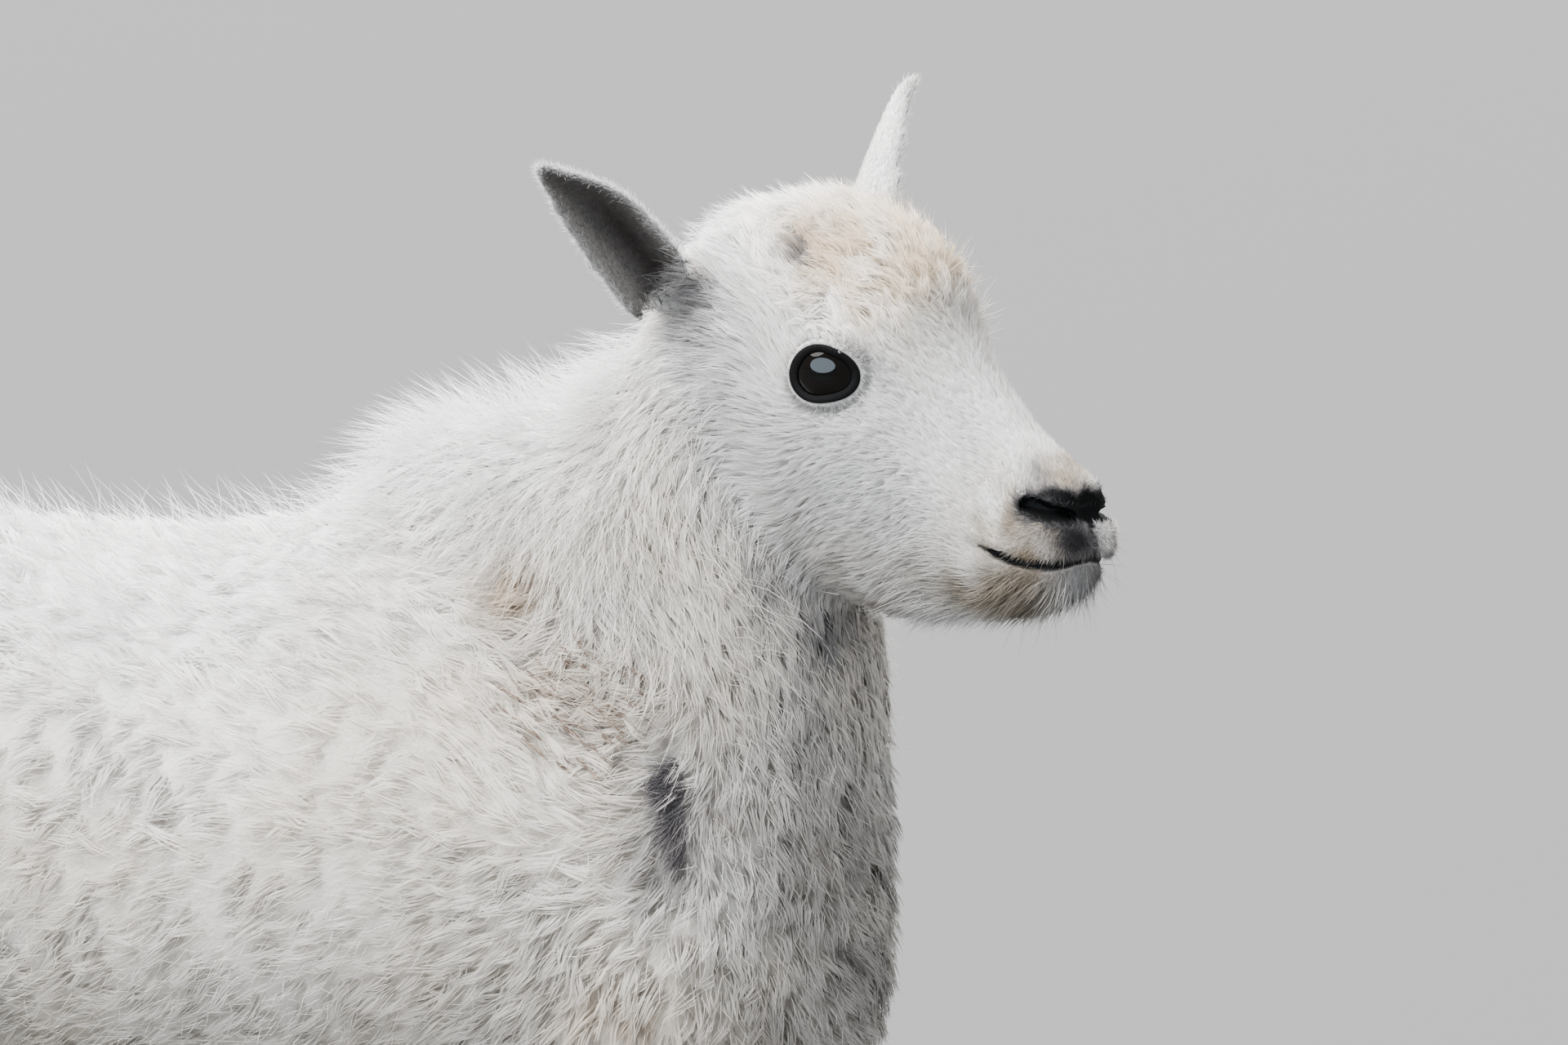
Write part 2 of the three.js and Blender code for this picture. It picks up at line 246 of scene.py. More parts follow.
class Finish:
    def __init__(self, name, **settings):
        self.material = bpy.data.materials.new(name)
        self.material.use_nodes = True
        self.tree = self.material.node_tree
        self.shader = next(n for n in self.tree.nodes if n.type == "BSDF_PRINCIPLED")
        for socket, value in settings.items():
            self.use(socket.replace("_", " "), value)

    def give(self, socket, value):
        if isinstance(value, Wire):
            self.tree.links.new(value.socket, socket)
        elif socket.type == "RGBA" and len(value) == 3:
            socket.default_value = (*value, 1)
        else:
            socket.default_value = value

    def node(self, kind, settings=None, sockets=None, out=0):
        made = self.tree.nodes.new(kind)
        for name, value in (settings or {}).items():
            setattr(made, name, value)
        for key, value in (sockets or {}).items():
            self.give(made.inputs[key], value)
        return Wire(self, made.outputs[out])

    def use(self, socket, value):
        self.give(self.shader.inputs[socket], value)

    def math(self, operation, *values):
        return self.node("ShaderNodeMath", {"operation": operation}, dict(enumerate(values)))

    def attribute(self, name, out="Color"):
        return self.node("ShaderNodeAttribute", {"attribute_name": name}, out=out)

    def place(self, scale=(1, 1, 1)):
        here = self.node("ShaderNodeTexCoord", out="Object")
        return self.node("ShaderNodeMapping", None, {"Vector": here, "Scale": scale})

    def noise(self, scale, detail, where=None):
        sockets = {"Vector": where or self.place(), "Scale": scale, "Detail": detail}
        return self.node("ShaderNodeTexNoise", None, sockets, out="Fac")

    def blend(self, mode, share, first, second):
        settings = {"data_type": "RGBA", "blend_type": mode, "clamp_factor": True}
        return self.node("ShaderNodeMix", settings, {0: share, 6: first, 7: second}, out=2)

    def bump(self, height, strength, distance):
        sockets = {"Height": height, "Strength": strength, "Distance": distance}
        return self.node("ShaderNodeBump", None, sockets)


print("frame loaded")

# Skin: the flesh solids joined, smoothed, and drawn in by the depth of the coat

skinForm = {
    "nodes": ["head", "neck", "trunk", "tail", "ear_left", "ear_right",
              "leg_fore_left", "leg_fore_right", "leg_hind_left", "leg_hind_right"],
    "swell": 0.5, "earSwell": 1.2,  # mm, so that the parts meet
    "grain": 2.9,  # mm between points before the face is refined
    "fillers": [  # balls in the eye socket, the nostril, the seat of the horn bud and the mouth: middle, radii
        ((-6, 30.7, -3.7), (16.6, 16.6, 16.6)), ((92.5, 11.5, -6), (8.5, 7, 7)),
        ((-36, 27.5, 26.5), (6, 6, 6)), ((90, 12, -25), (16, 9, 7)),
    ],
    "bodyRounds": 90, "bodyShare": 0.7, "rounds": 18, "there": 0.6, "back": -0.62,  # smoothing
    "keptFaces": 0.4, "islandAngle": 72, "islandMargin": 0.002,
    "fineRound": [(34, 55), (19, 74)],  # what is divided at each step: mm round the eye, and mm forward of here
}
regionNames = ["head", "neck", "trunk", "tail", "ear", "foreleg", "hindleg"]
depths = {  # of the coat over the skin, mm: the same all over, or changing forward or upward
    "head": ([-100, -55, -20, 5, 30, 55, 80, 98, 112], [11, 9.5, 7, 4.2, 3.2, 2.6, 2, 1.3, 1]),
    "neck": 7.5, "trunk": 9, "tail": 7, "ear": 0.9,
    "foreleg": ([25, 50, 130, 180, 240, 300], [0.3, 0.9, 2.2, 4, 7, 9]),
    "hindleg": ([25, 50, 140, 200, 260, 320], [0.3, 0.9, 2.2, 4, 7, 9]),
}
facePlaces = {"eye": (1, 45, -2), "lid": (1, 44, -2), "bud": (-36, 27, 22), "muzzle": (85, 0, -14), "earBase": (-62, 38, 0)}
ears = {  # root and tip in the head's frame, how much longer than the solid, how far the tip is bent, in mm
    "left": {"root": (-63, 41, -4), "tip": (-103, 111, 56), "more": 6.5, "bend": (-5, -1.5, 0)},
    "right": {"root": (-76, -36, -15), "tip": (-108, -110, 31), "more": 1, "bend": (0, 0, -9)},
    "opens": (0.86, 0.48, -0.16), "length": 96, "narrowing": 0.34,
}
eye = {
    "middle": (-6, 30.7, -3.7), "gaze": (0.36, 0.92, 0.14), "radius": 15.5, "lean": 30,
    # outlines of the opening and of the black rim round it: mm forward and up from its middle
    "opening": [(-10.2, -0.8), (-7.2, 4.9), (0, 7.5), (5.9, 4.7), (10.0, -0.8), (5.4, -7.0), (-1.9, -8.5), (-8.4, -5.8)],
    "rim": [(-11.8, -0.5), (-8, 6.3), (-0.5, 9.2), (6.6, 6.2), (11.6, -1.4), (7.6, -7.6), (-1.5, -9.9), (-9, -7)],
    "lid": ([-2.2, -0.6, 0, 0.6, 1.4], [-3.5, -2.4, 0.35, 0.95, 1.2]),  # mm outside the opening, mm over the ball
    "reach": 27,  # mm from the eye's middle that the lids are shaped
}


def addCopy(body, node, swell):
    piece = bmesh.new()
    piece.from_mesh(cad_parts[node].data)
    bmesh.ops.remove_doubles(piece, verts=piece.verts, dist=1e-5)
    piece.normal_update()
    for vertex in piece.verts:
        vertex.co += vertex.normal * swell * mm
    part = bpy.data.meshes.new("part")
    piece.to_mesh(part)
    piece.free()
    body.from_mesh(part)
    bpy.data.meshes.remove(part)


def addBall(body, middle, radii, side, fine=3, lean=0):
    x, y, z = middle
    place = Matrix.Translation(Vector(fromHead((x, side * y, z)))) @ headTurn.to_4x4()
    size = Matrix.Diagonal(Vector([r * mm for r in radii] + [1]))
    matrix = place @ Matrix.Rotation(side * lean, 4, "X") @ size
    bmesh.ops.create_icosphere(body, subdivisions=fine, radius=1, matrix=matrix)


def flesh():
    body = bmesh.new()
    for node in skinForm["nodes"]:
        addCopy(body, node, skinForm["earSwell" if node.startswith("ear") else "swell"])
    for side in (-1, 1):
        for middle, radii in skinForm["fillers"]:
            addBall(body, middle, radii, side)
    skin = objectFrom(body, "skin")
    voxelRemesh(skin, skinForm["grain"] * (1))
    return skin


def regionOf(node):
    kind = node.split("_")[0]
    if kind == "leg":
        kind = "foreleg" if "fore" in node else "hindleg"
    return regionNames.index(kind)


def regionShares(points, edges, rounds):
    # how far each point belongs to the head, the neck and so on, soft where they meet
    corners, faces, owners = [], [], []
    for node in skinForm["nodes"]:
        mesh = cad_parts[node].data
        start = len(corners)
        corners += [tuple(v.co) for v in mesh.vertices]
        for polygon in mesh.polygons:
            faces.append([start + i for i in polygon.vertices])
            owners.append(regionOf(node))
    tree = BVHTree.FromPolygons(corners, faces)
    shares = np.zeros((len(points), len(regionNames)))
    for i, point in enumerate(points.tolist()):
        shares[i, owners[tree.find_nearest(point)[2]]] = 1
    return relax(shares, edges, 0.8, rounds)


def share(regions, *names):
    return sum(regions[:, regionNames.index(name)] for name in names)


def byRegion(regions, values):  # one value for each point, out of one for each region
    return sum(values[name] * share(regions, name) for name in regionNames)


def coatDepth(points, regions):
    head, height = toHead(points), toBody(points)[:, 2]
    face = np.interp(head[:, 0], *depths["head"])
    face += 3 * ease(head[:, 2], -35, -60) * ease(head[:, 0], 45, 10)  # deeper under the jaw
    face += 3 * ease(head[:, 2], 14, 34) * ease(head[:, 0], 15, -15)  # and on the crown
    face = face * (0.45 + 0.55 * ease(apart(mirrored(head), facePlaces["lid"]), 10, 26))
    fore, hind = (np.interp(height, *depths[leg]) for leg in ("foreleg", "hindleg"))
    return byRegion(regions, {**depths, "head": face, "foreleg": fore, "hindleg": hind})


def earEnd(head, end):  # the root or tip of the ear on each point's side
    left, right = (np.array(ears[side][end], float) for side in ("left", "right"))
    return np.where(head[:, 1:2] > 0, left, right)


def earPlace(head):
    # along the ear from its root in mm, its axis, and the way its cup opens
    root = earEnd(head, "root")
    axis = unit(earEnd(head, "tip") - root)
    opening = alongTangent(sideways(np.array(ears["opens"]) + 0 * head, head), axis)
    return ((head - root) * axis).sum(1), axis, opening


def stretchEars(points, regions):
    # smoothing shortens the thin tips, so the outer half is drawn out to the length of the solid
    head = toHead(points)
    for side, name in ((1, "left"), (-1, "right")):
        solid = toHead(pointsOf(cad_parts[f"ear_{name}"].data))
        wanted = earPlace(solid)[0].max() - 0.8 + ears[name]["more"]
        mine = (share(regions, "ear") > 0.5) & (head[:, 1] * side > 0)
        along, axis, opening = earPlace(head)
        reached = along[mine].max()
        print(f"ear_{name} reaches", round(wanted, 1), "drawn out from", round(reached, 1))
        half = reached * 0.45
        part = np.clip((along - half) / (reached - half), 0, 1.2) * mine
        bend = np.array(ears[name]["bend"]) @ turn
        head = head + axis * (part * (wanted - reached))[:, None] + bend * (part ** 1.6)[:, None]
        across = np.cross(axis, opening)  # narrower towards the tip
        middle = np.where(mine, (head * across).sum(1), 0)[mine & (along > reached * 0.8)].mean()
        narrower = ears["narrowing"] * ease(part, 0.3, 1)
        head = head - across * (narrower * ((head * across).sum(1) - middle))[:, None]
    return fromHead(head)


def drawIn(skin, steps=4):
    mesh = skin.data
    edges, points = edgesOf(mesh), pointsOf(mesh)
    regions = regionShares(points, edges, 14)
    points = relax(points, edges, skinForm["bodyShare"] * share(regions, "trunk", "neck"), skinForm["bodyRounds"])
    thin = share(regions, "ear", "foreleg", "hindleg", "tail", "head")
    for _ in range(skinForm["rounds"]):  # there and back, which keeps thin parts and tips
        for amount in (skinForm["there"], skinForm["back"]):
            points = relax(points, edges, amount * thin, 1)
    setPoints(mesh, points)
    depth = relax(coatDepth(points, regions)[:, None], edges, 0.8, 6)
    points = stretchEars(points, regions)
    setPoints(mesh, points)
    for _ in range(steps):  # in steps, so that the folds stay open
        points = points - normalsOf(mesh) * depth * mm / steps
        points = relax(points, edges, 0.25 * (1 - share(regions, "ear")), 1)
        setPoints(mesh, points)


def thinOut(skin):
    # the skin under long hair needs fewer faces than the face, the ears and the feet
    points = pointsOf(skin.data)
    head = mirrored(toHead(points))
    onFace = (apart(head, facePlaces["eye"]) < 42) | (apart(head, facePlaces["muzzle"]) < 54)
    kept = onFace | (head[:, 1] > 50) & (head[:, 2] > -30) | (toBody(points)[:, 2] < 45)
    hidden = skin.vertex_groups.new(name="hidden")
    hidden.add(np.flatnonzero(~kept).tolist(), 1, "REPLACE")
    fewer = skin.modifiers.new("fewer", "DECIMATE")
    fewer.ratio, fewer.vertex_group = skinForm["keptFaces"], "hidden"
    applyModifiers(skin)
    skin.vertex_groups.clear()


def unwrap(skin):
    skin.data.uv_layers.new(name="OFBake")
    bpy.context.view_layer.objects.active = skin
    skin.select_set(True)
    bpy.ops.object.mode_set(mode="EDIT")
    bpy.ops.mesh.select_all(action="SELECT")
    bpy.ops.uv.smart_project(angle_limit=math.radians(skinForm["islandAngle"]), island_margin=skinForm["islandMargin"])
    bpy.ops.object.mode_set(mode="OBJECT")
    skin.select_set(False)


def refine(skin):
    # the face is divided once, the lids, nose and mouth twice
    for roundEye, forward in skinForm["fineRound"][: 2]:
        shape = bmesh.new()
        shape.from_mesh(skin.data)
        head = mirrored(toHead(pointsOf(skin.data)))
        inside = (apart(head, facePlaces["eye"]) < roundEye) | ((head[:, 0] > forward) & (head[:, 1] < 40))
        edges = [e for e in shape.edges if inside[e.verts[0].index] and inside[e.verts[1].index]]
        bmesh.ops.subdivide_edges(shape, edges=edges, cuts=1, use_grid_fill=True)
        shape.to_mesh(skin.data)
        shape.free()
        points, edges = pointsOf(skin.data), edgesOf(skin.data)
        head = mirrored(toHead(points))
        near = ease(apart(head, facePlaces["eye"]), 40, 34) + ease(head[:, 0], 50, 56)
        setPoints(skin.data, relax(points, edges, 0.6 * np.clip(near, 0, 1), 3))


# The face: lids, nose and mouth, shaped in the skin

nose = {
    "nostril": [(85.2, 20.2, -6.0), (88.2, 19.6, -5.2), (94.4, 18, -3.8), (98.8, 14.6, -2.2), (101.8, 9.6, -2.4)],
    "nostrilHalf": [2.8, 2.9, 1.8, 1.9, 1.4], "nostrilDepth": 7.5, "nakedHalf": [4.5, 4.8, 4.7, 4.4, 3.3],
    "inward": (-0.72, -0.62, -0.2),
    "wing": [(88.0, 18.4, -0.4), (90.5, 16.5, 1.6), (94.6, 13, 2.6), (98.2, 7.5, 2.4), (99.4, 0, 5.4)],
    "wingHalf": [2.4, 3.0, 3.3, 2.4, 4.6], "wingHeight": 0.9,
    "pad": [(99, 12, -0.6), (101.5, 6.5, -1.0), (102.5, 0, -1.6)], "padHalf": [3.8, 4.2, 4.6],
    "groove": [(101.5, 0, -3), (105.6, 0, -7), (107.5, 0, -13)], "grooveHalf": [3.4, 1.6, 0.8],
    "grooveCut": [0.2, 0.2, 0.2], "grooveDepth": 0.9,
    # rises and hollows: place, size and height, all in mm
    "lip": ((104, 8.5, -10.5), 7, 1.3), "farLip": ((104.5, 9, -7), 4.5, 1.7),  # stands out past the nose in the photo
    "dent": ((102, 0, 1.0), (8, 12, 8), 5.8), "bridgeDepth": 2.2,
}
mouth = {
    "line": [(73, 24, -29.2), (76, 23.6, -29.6), (83, 23.2, -28.9), (90.4, 22.2, -26.9), (98.6, 20.4, -23.8),
             (105, 15.6, -20), (108, 8.2, -17.4), (109, 0, -16)],
    "half": [0.4, 1.1, 1.8, 2.1, 2.1, 1.9, 1.6, 1.3], "depth": 3.8,
    "height": ([76, 90, 100, 109], [-29.5, -27, -22.5, -16]),  # of the line, from its corner to the front
    "upperLip": 0.9, "lowerLip": 0.5,
}


def eyeFrame():
    gaze = unit(np.array(eye["gaze"], float))
    lean = math.radians(eye["lean"])
    ahead = np.array((math.cos(lean), 0, math.sin(lean)))
    ahead = unit(ahead - (ahead @ gaze) * gaze)
    up = np.cross(ahead, gaze)
    return gaze, ahead, up if up[2] > 0 else -up


def outlineRadius(outline, angles):  # a smooth closed curve through the outline's points
    x, y = np.array(outline, float).T
    at, size = np.arctan2(y, x), np.hypot(x, y)
    waves = lambda a: np.stack([np.ones_like(a)] + [f(k * a) for k in (1, 2, 3) for f in (np.cos, np.sin)], 1)
    parts = np.linalg.lstsq(waves(at), size, rcond=None)[0]
    across = np.clip(waves(angles) @ parts / eye["radius"], 0.1, 0.97)
    return eye["radius"] * np.arcsin(across)  # measured over the ball


def eyePlane(head):
    # place over the left eye: mm forward and up across it, how far outside the opening and the rim
    gaze, ahead, up = eyeFrame()
    away = head - np.array(eye["middle"])
    reach = np.linalg.norm(away, axis=1)
    toward = unit(away)
    forward, high = eye["radius"] * (toward @ ahead), eye["radius"] * (toward @ up)
    angles, size = np.arctan2(high, forward), eye["radius"] * np.arccos(np.clip(toward @ gaze, -1, 1))
    inFront = (away @ gaze > -4) & (reach < eye["reach"])
    past, rim = (np.where(inFront, size - outlineRadius(eye[line], angles), 99) for line in ("opening", "rim"))
    return away, reach, forward, high, past, rim


def shapeEyes(folded, *_):
    away, reach, _, high, past, rim = eyePlane(folded)
    lid = np.interp(past, *eye["lid"])
    lid = lid + 0.8 * ease(rim, -0.6, 0.8)
    near = ease(rim, 8, 0.5) * ease(reach, eye["reach"], eye["reach"] - 3)
    raised = eye["radius"] + lid + 0.1 * np.clip(rim, 0, 9)
    wanted = reach + (raised - reach) * near
    upper = ease(high, -1, 3)
    crease = bell(rim, 3.1, 0.8) * upper * 0.7 + bell(rim, 3.6, 1) * (1 - upper) * 0.35
    swell = bell(rim, 1.8, 1.1) * 0.25 + bell(rim, 5.4, 2) * upper * 0.5
    wanted = wanted + (swell - crease) * (rim < 14)
    moved = folded + unit(away) * (wanted - reach)[:, None]
    return np.where((rim < 12)[:, None], moved, folded)


def shapeNose(folded, outward, onLeft):
    hole, wing = (segmentDistance(folded, nose[part], nose[part + "Half"]) for part in ("nostril", "wing"))
    groove = segmentDistance(folded, nose["groove"], nose["grooveCut"])
    seam = segmentDistance(folded, mouth["line"], mouth["half"])
    forward = folded[:, 0]
    below = folded[:, 2] < np.interp(forward, *mouth["height"])
    lift = nose["wingHeight"] * bell(np.clip(wing, 0, 9), 0, 2.2)
    lift -= nose["grooveDepth"] * bell(groove, 0, 1.1)
    lift += mouth["upperLip"] * bell(seam, 3.2, 2.2) * ~below - mouth["lowerLip"] * bell(seam, 1.8, 1.6) * below
    lift -= mouth["depth"] * ease(seam, 1.0, -0.3) * (1 - 0.6 * ease(forward, 99, 106))
    for mark, amount in (("lip", 1), ("farLip", onLeft)):
        place, size, height = nose[mark]
        lift += amount * height * bell(apart(folded, place), 0, size)
    place, size, depth = nose["dent"]
    lift -= depth * bell(np.linalg.norm((folded - np.array(place)) / np.array(size), axis=1), 0, 1)
    lift -= nose["bridgeDepth"] * ease(forward, 45, 80) * ease(outward[:, 2], 0.2, 0.7) * ease(forward, 104, 96)
    inward = unit(np.array(nose["inward"]))
    moved = folded + outward * lift[:, None] + inward * (nose["nostrilDepth"] * ease(hole, 0.9, -1.3))[:, None]
    return np.where((forward > 55)[:, None], moved, folded)


def shapeFace(skin):
    for shaped in (shapeEyes, shapeNose):  # both work on the left half, and the right one follows
        head = toHead(pointsOf(skin.data))
        outward = sideways(normalsOf(skin.data) @ turn, head)
        moved = shaped(mirrored(head), outward, head[:, 1] > 0)
        setPoints(skin.data, fromHead(sideways(moved, head)))


def bareSkin(head):
    # black naked skin round the eyes, on the nose and along the lips, from 0 to 1
    folded = mirrored(head)
    halves = {"nostril": "nakedHalf", "wing": "wingHalf", "pad": "padHalf", "groove": "grooveHalf"}
    pad = np.minimum.reduce([segmentDistance(folded, nose[line], nose[half]) for line, half in halves.items()])
    lips = segmentDistance(folded, mouth["line"], mouth["half"])
    return np.maximum.reduce([ease(eyePlane(folded)[5], 0.7, -0.3), ease(pad, 0.6, -0.4), ease(lips, 1.3, 0.3)]), pad


skin = flesh()
print("skin joined", len(skin.data.vertices))
drawIn(skin)
thinOut(skin)
unwrap(skin)
print("skin drawn in and unwrapped")
refine(skin)
naked, toPad = bareSkin(toHead(pointsOf(skin.data)))
shapeFace(skin)
print("face shaped", len(skin.data.vertices))

# What the coat does over the skin: its colour, the way it lies, how long it is

coatLook = {  # colours before light falls on them, and a few painted in for light and shade: the coat's lit top, the shade under the jaw and in the ear's hollow
    # the last colour on this line is painted light, for the coat's upward-facing top
    "white": (0.83, 0.785, 0.725), "face": (0.81, 0.80, 0.795), "litTop": (0.89, 0.885, 0.885),
    "cream": (0.62, 0.49, 0.35), "tan": (0.46, 0.31, 0.19), "brown": (0.12, 0.07, 0.05),
    "grey": (0.23, 0.22, 0.22), "temple": (0.2, 0.185, 0.18), "dark": (0.035, 0.032, 0.035), "black": (0.004, 0.004, 0.004),
    # the last colour on this line is painted shade, for under the chin and jaw
    "muzzle": (0.25, 0.195, 0.14), "beard": (0.215, 0.178, 0.135),
    # the inside of the ear is dark in itself and darkened further as painted shade; the second colour is painted shade
    # for the ear's hollow
    "earInside": (0.06, 0.055, 0.054), "earPitShade": (0.02, 0.013, 0.011),
}
markings = [  # on both halves of the face, one side of the head, or the body; middle, size across, colour, strength
    ("face", (-15, 21, 35), (35, 26, 20), "cream", 0.95),
    ("head", (-32, -24, 31), (18, 12, 9), "tan", 0.6),
    ("face", (-28, 17, 33), (9, 6, 5), "brown", 0.35),
    ("face", (-36, 27, 22), (6, 6, 6), "dark", 0.9),
    ("face", (90, 22, -16), (22, 15, 14), "muzzle", 1.0),
    ("face", (89, 4, 9), (12, 11, 7), "muzzle", 0.95),
    ("face", (81, 13, 3), (7, 6, 4), "grey", 0.95),
    ("face", (87, 6, 7), (8, 7, 6), "muzzle", 0.9),
    # painted shade under the chin
    ("face", (97, 14, -38), (20, 18, 12), "beard", 1.0),
    ("head", (105, -10, -10), (9, 10, 6.5), "dark", 0.95),
    # this line and the next are painted shade under the lower jaw
    ("face", (80, 12, -46), (34, 22, 9), "beard", 0.85),
    ("face", (50, 20, -68), (34, 20, 15), "beard", 0.45),
    ("face", (28, 42, -6), (9, 6, 4), "grey", 0.3),
    ("face", (16, 41, 12), (9, 7, 4), "grey", 0.2),
    ("face", (-61, 38, -7), (14, 12, 18), "temple", 0.75),
    # this line and the next two are painted shadow of the jaw on the throat and neck
    ("body", (183, -27, 407), (14, 18, 12), "grey", 0.95),
    ("body", (195, -16, 393), (13, 18, 15), "grey", 1.0),
    ("body", (174, -49, 400), (3, 6, 2.5), "dark", 0.4),
    ("body", (150, -66, 325), (16, 16, 32), "grey", 0.36),
    ("body", (150, -66, 335), (4, 14, 14), "dark", 0.4),
    ("body", (152, -67, 312), (4, 14, 12), "dark", 0.36),
    ("body", (147, -70, 299), (7, 14, 9), "dark", 0.3),
    ("body", (174, -62, 322), (8, 12, 5), "brown", 0.6),
    ("body", (93, -62, 402), (9, 16, 13), "tan", 0.7),
    ("body", (112, -68, 366), (24, 25, 22), "tan", 0.34),
    ("body", (16, -62, 395), (4, 10, 5), "tan", 0.7),
    ("body", (-34, -90, 331), (7, 12, 10), "brown", 0.35),
    ("body", (134, -80, 250), (16, 20, 9), "tan", 0.6),
    # this line and the next are painted shade on the right side of the neck and chest
    ("body", (198, -42, 352), (22, 32, 45), "grey", 0.5),
    ("body", (206, -40, 280), (30, 50, 66), "grey", 0.58),
    ("body", (60, 80, 350), (50, 40, 40), "cream", 0.35),
    ("body", (20, 0, 200), (220, 90, 26), "cream", 0.4),
    ("body", (-262, 0, 335), (25, 40, 30), "cream", 0.5),
    ("body", (-200, 0, 60), (60, 90, 60), "cream", 0.4),
    ("body", (140, 0, 60), (60, 90, 60), "cream", 0.4),
]
worn = [  # where the wool parts and shows its roots: middle, size, how bare, how brown
    ((115, -68, 362), (22, 22, 22), 0.0, 0.9), ((151, -66, 334), (5, 12, 14), 0.18, 0.3),
    ((153, -67, 312), (5, 12, 12), 0.16, 0.3),
]
lengths = {  # of the hair, mm: the same all over, or changing forward or upward
    "head": ([-90, -40, -10, 15, 45, 75, 95, 110], [20, 15, 11, 7.5, 6.5, 5, 4, 3.4]),
    "neck": 25, "trunk": 28, "tail": 30, "ear": 5, "leg": ([25, 60, 120, 180, 250], [6, 6, 9, 16, 26]),
}


def earInside(head, facing, regions):
    # inside the cup or not, mm along the ear, and mm across it from the middle of the cup
    along, axis, opening = earPlace(head)
    across = ((head - earEnd(head, "root")) * np.cross(axis, opening)).sum(1) * np.sign(head[:, 1])
    return share(regions, "ear") * ease((facing * opening).sum(1), 0.05, 0.4), along, across


def earRims(head, regions, step=4):
    # how near a point is to the edge of its ear, from 0 to 1
    along, across = earInside(head, head, regions)[1:]
    near = np.zeros(len(head))
    for side in (-1, 1):
        mine = (share(regions, "ear") > 0.6) & (head[:, 1] * side > 0)
        for start in range(14, 130, step):
            band = mine & (along >= start - 1) & (along < start + step + 1)
            if band.sum() > 8:
                low, high = across[band].min(), across[band].max()
                edge = np.minimum(across[band] - low, high - across[band])
                near[band] = np.maximum(near[band], ease(edge, 2.2, 0.4))
        near[mine & (along > along[mine].max() - 2.5)] = 1
    return near


def tint(made, colour, amount):
    return mix(made, np.array(coatLook[colour]), amount)


def stain(made, colour, amount):  # mixed as roots, which keeps small marks as dark as they look
    return mix(made ** 0.5, np.array(coatLook[colour]) ** 0.5, np.clip(amount, 0, 1)) ** 2


def coatColours(points, normals, regions):
    head, body, up = toHead(points), toBody(points), normals[:, 2]
    folded, onHead = mirrored(head), share(regions, "head")
    toned = 0.5 + 0.5 * ripple(points, 0.016, 3)
    made = tint(np.array(coatLook["white"]), "cream", 0.2 * toned * ease(up, 0.95, 0.3))
    made = tint(made, "face", 0.9 * onHead)
    # painted light: coat above 300 mm that faces upward is made lighter and whiter
    made = tint(made, "litTop", 0.85 * ease(up, 0.2, 0.75) * (body[:, 2] > 300))
    cloud = 1 + 0.35 * ripple(points, 0.004, 11)
    for kind, middle, size, colour, strength in markings:
        at = {"face": folded, "head": head, "body": body}[kind]
        away = (((at - np.array(middle)) / np.array(size)) ** 2).sum(1)
        within = 1 - share(regions, "head", "ear") if kind == "body" else onHead
        made = stain(made, colour, strength * np.exp(-away) * within * cloud)
    farLobe = ease(head[:, 1], -1, 2) * ease(head[:, 2], 0, -4)
    broken = np.clip(0.8 + 0.5 * ripple(points, 0.0012, 12), 0, 1)
    made = stain(made, "dark", 0.85 * ease(toPad, 3.2, 0.3) * (1 - farLobe) * onHead * broken)
    # painted shade in the fold over the eye, fainter under it, and close round its black rim
    high, _, rim = eyePlane(folded)[3:]
    eyeShade = bell(rim, 3.4, 1.3) * ease(high, 0, 5) * 0.4 + bell(rim, 2.4, 1.5) * ease(high, 0, -5) * 0.22
    eyeShade = eyeShade + 0.5 * bell(rim, 0.6, 1.1)
    made = tint(made, "grey", np.clip(eyeShade, 0, 1) * onHead)
    inside, along, across = earInside(head, normals @ turn, regions)
    # dark skin inside the ear cup, with painted shade that deepens away from the cup's edges
    lighter = 0.22 * ease(np.abs(across + 2), 5, 13)
    made = tint(made, "earInside", inside * ease(along, ears["length"] + 6, ears["length"] - 10) * (0.95 - lighter))
    # painted shade in the hollow of the cup
    pitShade = bell(across, -2, 5) * ease(along, 4, 12) * ease(along, 80, 40)
    made = tint(made, "earPitShade", inside * pitShade * 0.95)
    made = tint(made, "face", 0.42 * earRims(head, regions))
    made = tint(made, "grey", 0.5 * ease(body[:, 2], 34, 24))
    return np.clip(made, 0.008, 0.9)


